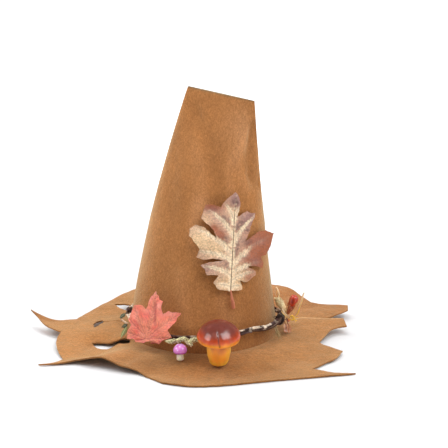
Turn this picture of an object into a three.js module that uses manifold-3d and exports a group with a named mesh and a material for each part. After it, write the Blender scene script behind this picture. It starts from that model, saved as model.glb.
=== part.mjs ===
// A felt witch hat with a flattened cone crown and a ragged, slashed brim, dressed for autumn:
// an oak leaf glued to the crown, and a vine wreath round its foot that carries a maple leaf,
// two mushrooms, leaf sprays, pods and a straw bow. Millimetres, +Z up, the face towards -Y.
import * as THREE from "three";
import { mergeVertices } from "three/addons/utils/BufferGeometryUtils.js";
import Module from "manifold-3d";

// ---- Driving dimensions -------------------------------------------------------------------

const FELT = 2; // thickness of the felt in the crown and the brim
const GAP = 0.3; // clearance between pieces that touch
const HEAD_RADIUS = 95.5; // outside radius of the crown at its foot

const CROWN_HEIGHT = 304; // from the foot to the middle of the top fold
const TOP_HALF_LENGTH = 42.5; // half of the straight top fold
const TOP_HALF_DEPTH = 2.05; // both layers of felt lie together there
const TOP_TURN = THREE.MathUtils.degToRad(15); // the fold is twisted, its left end further back
const TOP_TILT = 7.6; // its left end is this much above the middle, its right end below
const TOP_LEAN = 22.9; // the tip leans this far to the right
const LEAN_POWER = 1.9; // most of the lean is near the tip
const CROWN_BULGE = 2.2; // the sides swell a little between foot and tip

const SEAM_HEIGHT = 13; // top of the brim where the crown stands on it
const BRIM_HOLE_RADIUS = HEAD_RADIUS - FELT - 1.5;
const BRIM_BEND_START = 97; // the brim starts to droop here
const BRIM_BEND_END = 156; // and has reached the height of its edge here
const BRIM_REACH = 245; // beyond the longest spike
const HORN_DIRECTION = THREE.MathUtils.degToRad(168); // the long left spike curls up
const HORN_CURL_START = 188;
const HORN_CURL = 0.0062; // rise per square millimetre past that radius
const DIP_X = -126; // the brim sags onto the table round its front left slash
const DIP_Y = -42;
const DIP_HALF_LENGTH = 26;
const DIP_HALF_WIDTH = 18;
const DIP_DEPTH = 7;

const RING_RADIUS = 99.8; // core line of the wreath
const RING_RISE = 13.5; // core line above the brim seam
const RING_TILT_SIDE = 4; // the right side sits this much higher
const RING_TILT_FRONT = 8; // the front sits this much higher
const RING_LEFT_RISE = 14.5; // the left side is hitched up the crown by this much
const RING_LEFT_TUCK = 3.4; // and lies this much closer to it
const RING_HITCH_TURN = THREE.MathUtils.degToRad(-57); // beside the big mushroom it rides up again
const RING_HITCH_REACH = THREE.MathUtils.degToRad(15);
const RING_HITCH_RISE = 3;
const VINE_RADIUS = 1.7;
const VINE_ORBIT = 2.1; // each vine winds round the core line at this distance
const VINE_TURNS = 5; // full turns round the core in one lap of the crown
const VINES = 3;
const VINE_PIECES = 3; // each lap is made of this many cut lengths
const VINE_SPAN = THREE.MathUtils.degToRad(112);
const VINE_START = THREE.MathUtils.degToRad(-6); // where the first vine's first piece begins
const BINDING_ANGLE = THREE.MathUtils.degToRad(-10); // the binding covers a join between pieces

const OAK_THICKNESS = 1.2;
const OAK_BEND_RADIUS = 140;
const OAK_STANDOFF = 5; // the blade's middle stands off the crown on its glue pad
const MAPLE_THICKNESS = 1.2;
const MAPLE_BEND_RADIUS = 120;

const MUSHROOM_CAP_RADIUS = 25.3;
const SMALL_CAP_RADIUS = 8.2;

// ---- Materials ----------------------------------------------------------------------------

function material(color, roughness) {
  return new THREE.MeshStandardMaterial({ color, roughness, metalness: 0 });
}

const FELT_BROWN = 0xaa7145;
const VINE_BROWN = 0x3b2a22;
const BIRCH = 0xd8c9ae;
const LEAF_GREEN = 0xaab06a;

// ---- Solids -------------------------------------------------------------------------------

const wasm = await Module();
wasm.setup();

// A closed geometry as a manifold-3d solid.
function solidOf(geometry) {
  const bare = geometry.clone();
  bare.deleteAttribute("normal");
  bare.deleteAttribute("uv");
  const merged = mergeVertices(bare, 1e-3);
  const mesh = new wasm.Mesh({
    numProp: 3,
    vertProperties: new Float32Array(merged.attributes.position.array),
    triVerts: new Uint32Array(merged.index.array),
  });
  return new wasm.Manifold(mesh);
}

// A manifold-3d solid as a geometry.
function geometryOf(solid) {
  const mesh = solid.getMesh();
  const geometry = new THREE.BufferGeometry();
  geometry.setAttribute("position", new THREE.BufferAttribute(mesh.vertProperties, 3));
  geometry.setIndex(new THREE.BufferAttribute(mesh.triVerts, 1));
  geometry.computeVertexNormals();
  return geometry;
}

// Several overlapping geometries joined into one closed body.
function joined(geometries) {
  const solids = geometries.map(solidOf);
  return geometryOf(solids.reduce((all, next) => all.add(next)));
}

// Moves each corner of a geometry to the place that the function gives for it.
function bent(geometry, place) {
  const corners = geometry.attributes.position;
  const corner = new THREE.Vector3();
  for (let i = 0; i < corners.count; i += 1) {
    corner.fromBufferAttribute(corners, i);
    const moved = place(corner);
    corners.setXYZ(i, moved.x, moved.y, moved.z);
  }
  geometry.computeVertexNormals();
  return geometry;
}

// A round bar with the given radius that follows a smooth curve through the points.
function bar(points, radius, steps, sides = 6) {
  const section = new THREE.Shape();
  for (let side = 0; side < sides; side += 1) {
    const angle = (2 * Math.PI * side) / sides;
    const corner = [radius * Math.cos(angle), radius * Math.sin(angle)];
    if (side === 0) section.moveTo(...corner);
    else section.lineTo(...corner);
  }
  section.closePath();
  const extrudePath = new THREE.CatmullRomCurve3(points);
  return new THREE.ExtrudeGeometry(section, { steps, extrudePath, bevelEnabled: false });
}

function points(...triples) {
  return triples.map((triple) => new THREE.Vector3(...triple));
}

// A turned shape with its axis along Z, from a profile of [radius, height] pairs.
function turned(profile, sides) {
  const corners = profile.map(([radius, height]) => new THREE.Vector2(radius, height));
  return new THREE.LatheGeometry(corners, sides).rotateX(Math.PI / 2);
}

// An egg shape: width across, length along Z, its middle at the origin.
function egg(width, length, sides = 8, bands = 6) {
  const ball = new THREE.SphereGeometry(1, sides, bands).rotateX(Math.PI / 2);
  return ball.scale(width / 2, width / 2, length / 2);
}

// A right-handed frame with +Y up along the leaf and +Z out of its face.
function frameAt(origin, up, facing) {
  const y = up.clone().normalize();
  const z = facing.clone().addScaledVector(y, -facing.dot(y)).normalize();
  const x = new THREE.Vector3().crossVectors(y, z);
  return new THREE.Matrix4().makeBasis(x, y, z).setPosition(origin);
}

const smooth = (from, to, value) => THREE.MathUtils.smoothstep(value, from, to);

const part = new THREE.Group();

function add(group, name, geometry, color, roughness) {
  const mesh = new THREE.Mesh(geometry, material(color, roughness));
  mesh.name = name;
  group.add(mesh);
  return mesh;
}

// ---- Crown: two felt panels, sewn at the sides and along the top fold ---------------------

// A point in the crown's wall. Turn is the angle round it, rise runs from 0 at the foot to 1 at
// the top fold, inset is the depth below the outer face, and shift moves a panel off the seam.
function crownPoint(turn, rise, inset, shift) {
  const half = THREE.MathUtils.lerp(HEAD_RADIUS, TOP_HALF_LENGTH, rise);
  const bulge = CROWN_BULGE * Math.sin(Math.PI * rise);
  const along = (half + bulge - inset) * Math.cos(turn);
  const depth = THREE.MathUtils.lerp(HEAD_RADIUS, TOP_HALF_DEPTH, rise);
  const across = (depth - inset) * Math.sin(turn) + shift;
  const twist = -TOP_TURN * rise;
  return new THREE.Vector3(
    along * Math.cos(twist) - across * Math.sin(twist) + TOP_LEAN * rise ** LEAN_POWER,
    along * Math.sin(twist) + across * Math.cos(twist),
    SEAM_HEIGHT + GAP + CROWN_HEIGHT * rise - TOP_TILT * rise * Math.cos(turn),
  );
}

function crownPanel(firstTurn, shift) {
  const columns = 20;
  const rows = 12;
  const sheet = new THREE.BoxGeometry(1, 1, 1, columns, rows, 1);
  return bent(sheet, ({ x, y, z }) => {
    const turn = firstTurn + Math.PI * (x + 0.5);
    return crownPoint(turn, y + 0.5, FELT * (0.5 - z), shift);
  });
}

const SEAM_SHIFT = 0.2;
add(part, "crown_front_panel", crownPanel(Math.PI, -SEAM_SHIFT), FELT_BROWN, 0.95);
add(part, "crown_back_panel", crownPanel(0, SEAM_SHIFT), FELT_BROWN, 0.95);

// ---- Brim: one wavy felt sheet with a ragged edge and slashes -----------------------------

// Height of the underside at the brim's edge, for directions in degrees from +X.
const EDGE_HEIGHTS = [
  [-180, 9],
  [-166, 5],
  [-153, 0],
  [-138, 13],
  [-126, 7],
  [-113, 0],
  [-40, 0],
  [-20, 3],
  [10, 9],
  [30, 10.5],
  [42, 14],
  [57, 21],
  [75, 18],
  [95, 12],
  [115, 18],
  [130, 17],
  [145, 14],
  [160, 10.5],
  [180, 9],
];

function edgeHeight(degrees) {
  const next = EDGE_HEIGHTS.findIndex(([angle]) => angle >= degrees);
  const [toAngle, toHeight] = EDGE_HEIGHTS[Math.max(next, 1)];
  const [fromAngle, fromHeight] = EDGE_HEIGHTS[Math.max(next, 1) - 1];
  return THREE.MathUtils.lerp(fromHeight, toHeight, smooth(fromAngle, toAngle, degrees));
}

// Height of the brim's underside over a point of the plan.
function brimUnderside(x, y) {
  const radius = Math.hypot(x, y);
  const angle = Math.atan2(y, x);
  const droop = smooth(BRIM_BEND_START, BRIM_BEND_END, radius);
  const edge = edgeHeight(THREE.MathUtils.radToDeg(angle));
  const curl = HORN_CURL * Math.max(0, radius - HORN_CURL_START) ** 2;
  const nearHorn = Math.max(0, Math.cos(angle - HORN_DIRECTION)) ** 12;
  const height = THREE.MathUtils.lerp(SEAM_HEIGHT - FELT, edge, droop) + curl * nearHorn;
  const fromDip = ((x - DIP_X) / DIP_HALF_LENGTH) ** 2 + ((y - DIP_Y) / DIP_HALF_WIDTH) ** 2;
  return Math.max(0, height - DIP_DEPTH * Math.exp(-fromDip));
}

// The cut outline, anticlockwise from the long spike at the front right.
function brimOutline() {
  const v = (x, y) => new THREE.Vector2(x, y);
  const outline = new THREE.Shape();
  outline.moveTo(183, -131);
  outline.lineTo(158, -129);
  outline.lineTo(132, -118);
  outline.splineThru([v(150, -98), v(163, -86), v(174, -62)]);
  outline.lineTo(152, -42);
  outline.lineTo(147, -33);
  outline.splineThru([v(157, -12), v(168, 6), v(187, 15)]);
  outline.lineTo(185, 36);
  outline.lineTo(116, 38);
  outline.lineTo(116, 40);
  outline.lineTo(168, 51);
  outline.lineTo(195, 78);
  outline.lineTo(197, 96);
  outline.splineThru([v(180, 100), v(162, 101), v(147, 106)]);
  outline.splineThru([v(137, 123), v(129, 138), v(116, 152), v(97, 160)]);
  outline.lineTo(72, 174);
  outline.lineTo(46, 192);
  outline.lineTo(36, 172);
  outline.splineThru([v(10, 184), v(-18, 187)]);
  outline.lineTo(-30, 158);
  outline.lineTo(-52, 190);
  outline.splineThru([v(-66, 178), v(-82, 164), v(-102, 147)]);
  outline.splineThru([v(-119, 122), v(-138, 93), v(-156, 66), v(-169, 38)]);
  outline.splineThru([v(-184, 36), v(-198, 35), v(-230, 42)]);
  outline.splineThru([v(-219, 31), v(-206, 12), v(-184, -6)]);
  outline.splineThru([v(-186, -34), v(-180, -62), v(-170, -84)]);
  outline.lineTo(-181, -97);
  outline.lineTo(-200, -104);
  outline.splineThru([v(-176, -100), v(-151, -98), v(-136, -106), v(-122, -109)]);
  outline.splineThru([v(-107, -118), v(-89, -127), v(-73, -133), v(-45, -160)]);
  outline.splineThru([v(-14, -170), v(22, -168), v(67, -157), v(101, -149)]);
  outline.lineTo(135, -144);
  outline.lineTo(183, -131);
  outline.holes.push(
    new THREE.Path([
      v(-124, 90),
      v(-115, 75),
      v(-104, 66),
      v(-92, 58),
      v(-84, 57),
      v(-90, 70),
      v(-100, 84),
      v(-110, 91),
    ]),
    new THREE.Path([
      v(-145, 20),
      v(-141, 28.5),
      v(-134.5, 32.5),
      v(-131, 28.3),
      v(-120, 27.4),
      v(-107, 24.2),
      v(-107, 22.8),
      v(-120, 25.8),
      v(-131, 26.6),
      v(-134, 22),
      v(-138, 12),
      v(-142.5, 6),
    ]),
    new THREE.Path([
      v(-141.5, -32),
      v(-138, -38.5),
      v(-133, -46),
      v(-127, -49.5),
      v(-120.5, -49.5),
      v(-115.5, -48.5),
      v(-111, -46),
      v(-105.7, -44.5),
      v(-98, -52),
      v(-92, -53),
      v(-91, -45),
      v(-91, -41.5),
      v(-99, -36.6),
      v(-109, -36),
      v(-117, -35.5),
      v(-127, -31.5),
      v(-135, -30.3),
    ]),
  );
  return outline;
}

// The prism that trims a sheet to its outline. It reaches well past the sheet on both sides.
function trimmer(outline, curveSegments) {
  const depth = 160;
  const prism = new THREE.ExtrudeGeometry(outline, { depth, curveSegments, bevelEnabled: false });
  return solidOf(prism.translate(0, 0, -depth / 2));
}

// The sheet is a ring round the head hole, so trimming only shapes the outside and the slashes.
function brimGeometry() {
  const bend = [106, 117, 130, 143]; // rings of corners where the sheet bends most
  const radii = [BRIM_HOLE_RADIUS, BRIM_BEND_START, ...bend, BRIM_BEND_END, 185, 210, BRIM_REACH];
  const under = radii.map((radius) => [radius, 0]);
  const over = radii.map((radius) => [radius, FELT]).reverse();
  const ring = turned([...under, ...over, under[0]], 64);
  const sheet = bent(ring, ({ x, y, z }) => new THREE.Vector3(x, y, z + brimUnderside(x, y)));
  return geometryOf(solidOf(sheet).intersect(trimmer(brimOutline(), 3)));
}

add(part, "brim", brimGeometry(), FELT_BROWN, 0.95);

// ---- Leaves -------------------------------------------------------------------------------

// A leaf blade cut from a thin sheet that bends backwards about the leaf's long axis.
function blade(outline, thickness, bendRadius, columns = 10, rows = 8) {
  const box = new THREE.Box2().setFromPoints(outline.getPoints(6));
  const size = box.getSize(new THREE.Vector2());
  const middle = box.getCenter(new THREE.Vector2());
  const sheet = new THREE.BoxGeometry(size.x + 2, size.y + 2, thickness, columns, rows, 1);
  sheet.translate(middle.x, middle.y, 0);
  const curved = bent(sheet, ({ x, y, z }) => new THREE.Vector3(x, y, z - (x * x) / (2 * bendRadius)));
  return geometryOf(solidOf(curved).intersect(trimmer(outline, 6)));
}

function outlineThrough(pairs) {
  return new THREE.Shape(pairs.map(([x, y]) => new THREE.Vector2(x, y)));
}

// The oak blade, from the end of its stem anticlockwise round its lobes.
const OAK_OUTLINE = [
  [0, 0],
  [15, 2],
  [16, 6],
  [12, 13],
  [22, 11],
  [29, 16],
  [35, 20],
  [35, 25],
  [28, 28],
  [22, 30.5],
  [33, 31.5],
  [45, 29],
  [47, 35],
  [42, 43],
  [51, 46],
  [58, 57],
  [60, 66],
  [63, 73],
  [55, 74],
  [49, 76],
  [37, 74],
  [24, 65],
  [18, 61],
  [24, 74],
  [25, 80],
  [30, 90],
  [32, 97],
  [26, 96],
  [19, 98],
  [13, 95],
  [6, 90],
  [9, 103],
  [9, 108],
  [6, 115],
  [2, 121],
  [-4, 116],
  [-9, 112],
  [-14, 106],
  [-16, 101],
  [-25, 104],
  [-35, 104],
  [-36, 98],
  [-39, 87],
  [-30, 79],
  [-24, 73],
  [-20, 63],
  [-28, 70],
  [-36, 77],
  [-46, 79],
  [-52, 74],
  [-53, 66],
  [-44, 55],
  [-40, 50],
  [-43, 40],
  [-35, 37],
  [-24, 39],
  [-10, 37],
  [-29, 34],
  [-38, 30],
  [-33, 26],
  [-31, 19],
  [-16, 19],
  [-22, 10],
  [-17, 2],
];

const OAK_FOOT = new THREE.Vector3(34.5, -74.5, 86.2);
const OAK_UP = new THREE.Vector3(4, 32, 117);
const OAK_FACING = new THREE.Vector3(0.375, -0.927, 0);
const oakFrame = frameAt(OAK_FOOT, OAK_UP, OAK_FACING);

const oakBlade = blade(outlineThrough(OAK_OUTLINE), OAK_THICKNESS, OAK_BEND_RADIUS);
add(part, "oak_leaf", oakBlade, 0xd9bf98, 0.6).applyMatrix4(oakFrame);

const oakStem = bar(points([0.4, -0.5, 0], [1.5, -7, 0.6], [3.5, -14, 0.2], [5, -20, -1]), 1.3, 8, 8);
add(part, "oak_leaf_stem", oakStem, 0xad6e4a, 0.4).applyMatrix4(oakFrame);

// Glue holds the blade off the felt, at the middle of the leaf.
const oakPad = turned(
  [
    [0, -OAK_STANDOFF + 1.6],
    [6, -OAK_STANDOFF + 1.6],
    [4.5, -OAK_THICKNESS / 2 - GAP],
    [0, -OAK_THICKNESS / 2 - GAP],
  ],
  12,
);
oakPad.translate(0, 55, 0);
add(part, "oak_leaf_glue", oakPad, 0xd8cfbf, 0.3).applyMatrix4(oakFrame);

// ---- Wreath: everything that lifts off the crown together ---------------------------------

const wreath = new THREE.Group();
part.add(wreath);

// A point near the wreath's core line: out is away from the crown, up is along +Z.
function ringPoint(angle, out, up) {
  const left = Math.max(0, -Math.cos(angle)) ** 3;
  const radius = RING_RADIUS + out - RING_LEFT_TUCK * left;
  const tilt = RING_TILT_SIDE * Math.cos(angle) - RING_TILT_FRONT * Math.sin(angle);
  const away = 1 - Math.cos(angle - RING_HITCH_TURN);
  const hitch = RING_HITCH_RISE * Math.exp((-2 * away) / RING_HITCH_REACH ** 2);
  return new THREE.Vector3(
    radius * Math.cos(angle),
    radius * Math.sin(angle),
    SEAM_HEIGHT + RING_RISE + tilt + RING_LEFT_RISE * left + hitch + up,
  );
}

// A frame on the core line with +X away from the crown, +Y along the wreath.
function ringFrame(angle) {
  const origin = ringPoint(angle, 0, 0);
  const along = ringPoint(angle + 0.01, 0, 0).sub(origin);
  const y = along.normalize();
  const x = new THREE.Vector3(Math.cos(angle), Math.sin(angle), 0);
  const z = new THREE.Vector3().crossVectors(x, y).normalize();
  return new THREE.Matrix4().makeBasis(new THREE.Vector3().crossVectors(y, z), y, z).setPosition(origin);
}

function vineGeometry(firstAngle, phase) {
  const stations = 14;
  const route = [];
  for (let i = 0; i <= stations; i += 1) {
    const angle = firstAngle + (VINE_SPAN * i) / stations;
    const winding = VINE_TURNS * angle + phase;
    route.push(ringPoint(angle, VINE_ORBIT * Math.cos(winding), VINE_ORBIT * Math.sin(winding)));
  }
  return bar(route, VINE_RADIUS, 22);
}

for (let vine = 0; vine < VINES; vine += 1) {
  for (let piece = 0; piece < VINE_PIECES; piece += 1) {
    const turn = piece / VINE_PIECES + vine / (VINES * VINE_PIECES);
    const firstAngle = 2 * Math.PI * turn + VINE_START;
    const phase = (2 * Math.PI * vine) / VINES;
    const name = `vine_${"abc"[vine]}${piece + 1}`;
    add(wreath, name, vineGeometry(firstAngle, phase), VINE_BROWN, 0.8);
  }
}

// Dark wire wound three times round the bundle at the right.
const binding = turned(
  [
    [4.3, -7],
    [5.4, -7],
    [6.2, -4.7],
    [5.4, -2.3],
    [6.2, 0],
    [5.4, 2.3],
    [6.2, 4.7],
    [5.4, 7],
    [4.3, 7],
    [4.3, -7],
  ],
  14,
);
binding.rotateX(-Math.PI / 2);
add(wreath, "wreath_binding", binding, 0x2b2622, 0.5).applyMatrix4(ringFrame(BINDING_ANGLE));

// Maple leaf.
const MAPLE_OUTLINE = [
  [-1, -2],
  [5, -4],
  [10, -6],
  [13, -2],
  [20, 1],
  [27, 3],
  [24, 8],
  [22, 12],
  [28, 18],
  [32, 22],
  [33, 26],
  [38, 32],
  [32, 33],
  [26, 33],
  [23, 35],
  [19, 32],
  [16, 31],
  [15, 37],
  [15, 41],
  [17, 47],
  [13, 48],
  [12, 52],
  [9, 55],
  [8, 59],
  [4, 54],
  [0, 50],
  [-2, 46],
  [-3, 41],
  [-6, 36],
  [-10, 41],
  [-15, 42],
  [-23, 41],
  [-26, 36],
  [-31, 26],
  [-33, 23],
  [-28, 17],
  [-30, 13],
  [-35, 9],
  [-34, 4],
  [-35, -1],
  [-25, 0],
  [-22, -4],
  [-10, -4],
];
const MAPLE_FOOT = new THREE.Vector3(-62, -92.5, 30.5);
const MAPLE_UP = new THREE.Vector3(-1, 13, 57);
const MAPLE_FACING = new THREE.Vector3(-0.375, -0.927, 0);
const mapleFrame = frameAt(MAPLE_FOOT, MAPLE_UP, MAPLE_FACING);
const mapleBlade = blade(outlineThrough(MAPLE_OUTLINE), MAPLE_THICKNESS, MAPLE_BEND_RADIUS);
add(wreath, "maple_leaf", mapleBlade, 0xe07d6a, 0.55).applyMatrix4(mapleFrame);

const mapleStem = bar(
  points([-61.9, -93.6, 26.4], [-60.6, -91, 25], [-57.4, -86, 24.4], [-55.2, -82, 24.6]),
  0.9,
  8,
);
add(wreath, "maple_leaf_stem", mapleStem, 0xc9685a, 0.5);

// Large mushroom: a moulded cap on a swollen stalk, leaning a little out from the crown.
const mushroom = new THREE.Group();
mushroom.position.set(20.2, -123, 39);
mushroom.rotation.set(THREE.MathUtils.degToRad(5), 0, 0);
wreath.add(mushroom);

const bigCap = turned(
  [
    [0, 0],
    [0.55 * MUSHROOM_CAP_RADIUS, 0],
    [0.85 * MUSHROOM_CAP_RADIUS, 0.6],
    [0.97 * MUSHROOM_CAP_RADIUS, 2.6],
    [MUSHROOM_CAP_RADIUS, 6],
    [0.96 * MUSHROOM_CAP_RADIUS, 10.5],
    [0.83 * MUSHROOM_CAP_RADIUS, 16],
    [0.62 * MUSHROOM_CAP_RADIUS, 20.5],
    [0.33 * MUSHROOM_CAP_RADIUS, 23.5],
    [0, 24.5],
  ],
  24,
);
add(mushroom, "mushroom_cap", bigCap, 0x97503e, 0.25);

const bigStalk = turned(
  [
    [0, -28.4],
    [7.6, -28.4],
    [9.2, -26],
    [11.6, -19],
    [13.5, -11],
    [13.9, -6],
    [13.3, -GAP],
    [0, -GAP],
  ],
  18,
);
add(mushroom, "mushroom_stalk", bigStalk, 0xd88735, 0.35);

// Small mushroom.
const smallMushroom = new THREE.Group();
smallMushroom.position.set(-26, -113, 20.7);
wreath.add(smallMushroom);
const smallCap = turned(
  [
    [0, 0],
    [0.6 * SMALL_CAP_RADIUS, 0],
    [0.95 * SMALL_CAP_RADIUS, 1.5],
    [SMALL_CAP_RADIUS, 4.5],
    [0.84 * SMALL_CAP_RADIUS, 7.6],
    [0.5 * SMALL_CAP_RADIUS, 10],
    [0, 11],
  ],
  14,
);
add(smallMushroom, "small_mushroom_cap", smallCap, 0xb56fc0, 0.35);
const smallStalk = turned(
  [
    [0, -9],
    [2.8, -9],
    [4.3, -7.5],
    [4.2, -3],
    [3.6, -GAP],
    [0, -GAP],
  ],
  12,
);
add(smallMushroom, "small_mushroom_stalk", smallStalk, 0xefe6d8, 0.4);

// Wires that hold the mushrooms, from their backs to the vines.
const bigWire = bar(points([20.2, -107.4, 32.6], [20.2, -105, 33.4], [20.2, -102.6, 34]), 0.7, 6);
add(wreath, "mushroom_wire", bigWire, 0x6b6a62, 0.4);
const smallWire = bar(
  points([-26, -112.8, 32.7], [-26, -109, 32.3], [-25.8, -105, 31.5], [-25.4, -101.6, 32]),
  0.6,
  6,
);
add(wreath, "small_mushroom_wire", smallWire, 0x6b6a62, 0.4);

// A sprig: one moulded piece of plastic with pointed buds on a thin stem. Each bud is given by
// its middle, the direction that it points in, its width and its length.
function sprig(stemPoints, stemRadius, buds) {
  const bodies = [bar(stemPoints, stemRadius, 10)];
  buds.forEach(({ at, toward, width, length }) => {
    const turn = new THREE.Quaternion();
    turn.setFromUnitVectors(new THREE.Vector3(0, 0, 1), new THREE.Vector3(...toward).normalize());
    bodies.push(egg(width, length).applyQuaternion(turn).translate(...at));
  });
  return joined(bodies);
}

const frontSprigStem = points([-43, -101, 32], [-33, -104, 33], [-22, -106.5, 34.5], [-8, -107.5, 34.5]);
const frontSprig = sprig(frontSprigStem, 0.8, [
  { at: [-37, -103.4, 32], toward: [1, -0.3, 0.1], width: 4.8, length: 12 },
  { at: [-25, -106, 35.8], toward: [1, -0.2, 0.3], width: 4.2, length: 12 },
  { at: [-15.5, -107.8, 31.6], toward: [1, -0.1, -0.6], width: 4.8, length: 11 },
  { at: [-10.5, -107.6, 35.4], toward: [1, 0, 0.3], width: 4.6, length: 12 },
]);
add(wreath, "bud_sprig", frontSprig, LEAF_GREEN, 0.55);

// Leaflets at the left: pointed ovals that stand off the vines.
function leaflet(length, width, bendRadius) {
  const shape = new THREE.Shape();
  shape.moveTo(0, 0);
  shape.quadraticCurveTo(width * 0.75, length * 0.4, 0, length);
  shape.quadraticCurveTo(-width * 0.75, length * 0.4, 0, 0);
  return blade(shape, 1, bendRadius, 4, 3);
}

const LEFT_LEAFLETS = [
  {
    name: "left_leaflet_upper",
    foot: [-99.2, -21, 39.5],
    up: [-6.2, -1, -4.5],
    facing: [-0.35, -0.85, 0.4],
    length: 9,
    width: 5.5,
  },
  {
    name: "left_leaflet_middle",
    foot: [-95.8, -29, 27.6],
    up: [-7, 0.5, -3.2],
    facing: [-0.3, -0.85, 0.4],
    length: 9,
    width: 5,
  },
  {
    name: "left_leaflet_lower",
    foot: [-96.6, -31.5, 25.6],
    up: [-7.3, -14, -9.8],
    facing: [-0.5, -0.6, 0.6],
    length: 17.5,
    width: 7,
  },
];
LEFT_LEAFLETS.forEach(({ name, foot, up, facing, length, width }) => {
  const place = frameAt(new THREE.Vector3(...foot), new THREE.Vector3(...up), new THREE.Vector3(...facing));
  add(wreath, name, leaflet(length, width, 12), 0x6d8040, 0.55).applyMatrix4(place);
});

// A pale cut twig hangs under the vines at the left and carries two of the leaflets.
const twigRoute = points([-104.2, -25, 33.3], [-99.4, -26, 30.2], [-96.4, -29, 29.4], [-95, -33, 31.2]);
const paleTwig = bar(twigRoute, 1.2, 10);
add(wreath, "pale_twig", paleTwig, BIRCH, 0.8);

// The cluster at the right: a cream seed head, a red berry on a brown calyx, a straw bow with
// a yellow knot, loops of straw, and two rust coloured petals that hang over the vines.
const seedHead = egg(9, 19, 10, 8).rotateY(THREE.MathUtils.degToRad(-32));
add(wreath, "seed_head", seedHead, 0xe3d3a4, 0.7).position.set(98.9, -9, 48.8);
const redBerry = egg(10.5, 13, 10, 8).rotateY(THREE.MathUtils.degToRad(20));
add(wreath, "red_berry", redBerry, 0xb83a2a, 0.35).position.set(115.3, -8, 53.6);
const calyx = egg(8.5, 13, 8, 6).rotateY(THREE.MathUtils.degToRad(22));
add(wreath, "berry_calyx", calyx, 0x9a4a2a, 0.5).position.set(110.6, -8, 40.5);
const strawKnot = new THREE.TorusGeometry(2.3, 1, 6, 10);
add(wreath, "straw_knot", strawKnot, 0xe3b53c, 0.6).position.set(114, -9, 30);

function strand(name, route, radius, color) {
  add(wreath, name, bar(points(...route), radius, 10), color, 0.7);
}

const STRAW = 0xe2c489;
strand("straw_right", [[117.6, -9, 31], [122, -9, 44], [129, -9, 64]], 0.9, STRAW);
strand("straw_left", [[110.4, -12.6, 31], [105.6, -14.6, 35.5], [101.4, -15, 42]], 0.9, STRAW);
const loopRoute = [[94, -9, 58.6], [91.6, -9, 64], [93, -9, 71], [96.4, -9, 65.4], [97, -9, 59]];
strand("straw_loop", loopRoute, 0.6, STRAW);
strand("green_wisp_front", [[91.6, -49.5, 25.4], [91, -51, 21], [93, -53.5, 15.5]], 0.5, 0x8c8448);
strand("green_wisp_back", [[94, -44.5, 25.6], [95.8, -45.5, 21], [95, -47.5, 15.8]], 0.5, 0x8c8448);

const bead = new THREE.SphereGeometry(2.4, 10, 8);
add(wreath, "amber_bead", bead, 0xd4724a, 0.2).position.set(108.8, -11, 27.6);

const PETALS = [
  { name: "rust_petal_outer", foot: [108, -15, 25.4], up: [3, -8, -9], facing: [0.6, -0.6, 0.5] },
  { name: "rust_petal_inner", foot: [104.6, -19, 25.4], up: [1.5, -9, -8], facing: [0.3, -0.8, 0.5] },
];
PETALS.forEach(({ name, foot, up, facing }) => {
  const place = frameAt(new THREE.Vector3(...foot), new THREE.Vector3(...up), new THREE.Vector3(...facing));
  add(wreath, name, leaflet(13, 9, 12), 0xa9583a, 0.4).applyMatrix4(place);
});

// The hat stands over the middle of its own footprint, with the lowest felt at height 0.
const bounds = new THREE.Box3().setFromObject(part, true);
const centre = bounds.getCenter(new THREE.Vector3());
part.children.forEach((child) => {
  child.position.x -= centre.x;
  child.position.y -= centre.y;
  child.position.z -= bounds.min.z;
});

export default part;
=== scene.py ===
"""Looks of the felt witch hat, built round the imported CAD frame.

Shapes are worked out in millimetres from the middle of the crown's foot, the same way as in the
CAD source, and are put into the frame in metres by place().
"""
import math
import random

import bpy
import bmesh
import numpy as np
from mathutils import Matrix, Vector, noise
from mathutils.geometry import delaunay_2d_cdt


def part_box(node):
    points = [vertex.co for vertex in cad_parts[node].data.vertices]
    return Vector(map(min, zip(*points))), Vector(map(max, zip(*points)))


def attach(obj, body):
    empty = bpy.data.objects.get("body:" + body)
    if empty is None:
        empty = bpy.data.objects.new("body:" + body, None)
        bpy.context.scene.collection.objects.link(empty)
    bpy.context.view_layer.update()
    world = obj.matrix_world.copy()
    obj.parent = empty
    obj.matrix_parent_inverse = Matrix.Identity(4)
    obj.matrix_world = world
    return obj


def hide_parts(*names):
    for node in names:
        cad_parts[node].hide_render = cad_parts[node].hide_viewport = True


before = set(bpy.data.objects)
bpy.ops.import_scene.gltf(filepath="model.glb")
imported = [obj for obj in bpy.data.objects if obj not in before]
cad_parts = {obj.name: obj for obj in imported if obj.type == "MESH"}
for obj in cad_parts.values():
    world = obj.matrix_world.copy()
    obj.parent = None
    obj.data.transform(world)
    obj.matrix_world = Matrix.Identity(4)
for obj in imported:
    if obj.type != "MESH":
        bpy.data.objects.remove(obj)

bpy.context.view_layer.update()

MM = 0.001
FELT = 2.0
HEAD_RADIUS = 95.5
CROWN_HEIGHT = 304.0
TOP_HALF_LENGTH = 42.5
TOP_HALF_DEPTH = 2.05
TOP_TURN = math.radians(15)
TOP_TILT = 7.6
TOP_LEAN = 22.9
LEAN_POWER = 1.9
CROWN_BULGE = 2.2
SEAM_HEIGHT = 13.0
SEAM_GAP = 0.3
SEAM_SHIFT = 0.2
BRIM_HOLE_RADIUS = 92.0
RING_RADIUS = 99.8
RING_RISE = 13.5
RING_TILT_SIDE = 4.0
RING_TILT_FRONT = 8.0
RING_LEFT_RISE, RING_LEFT_TUCK = 14.5, 3.4
RING_HITCH_TURN, RING_HITCH_REACH, RING_HITCH_RISE = math.radians(-57), math.radians(15), 3.0
VINE_START, BINDING_ANGLE = math.radians(-6), math.radians(-10)

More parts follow.
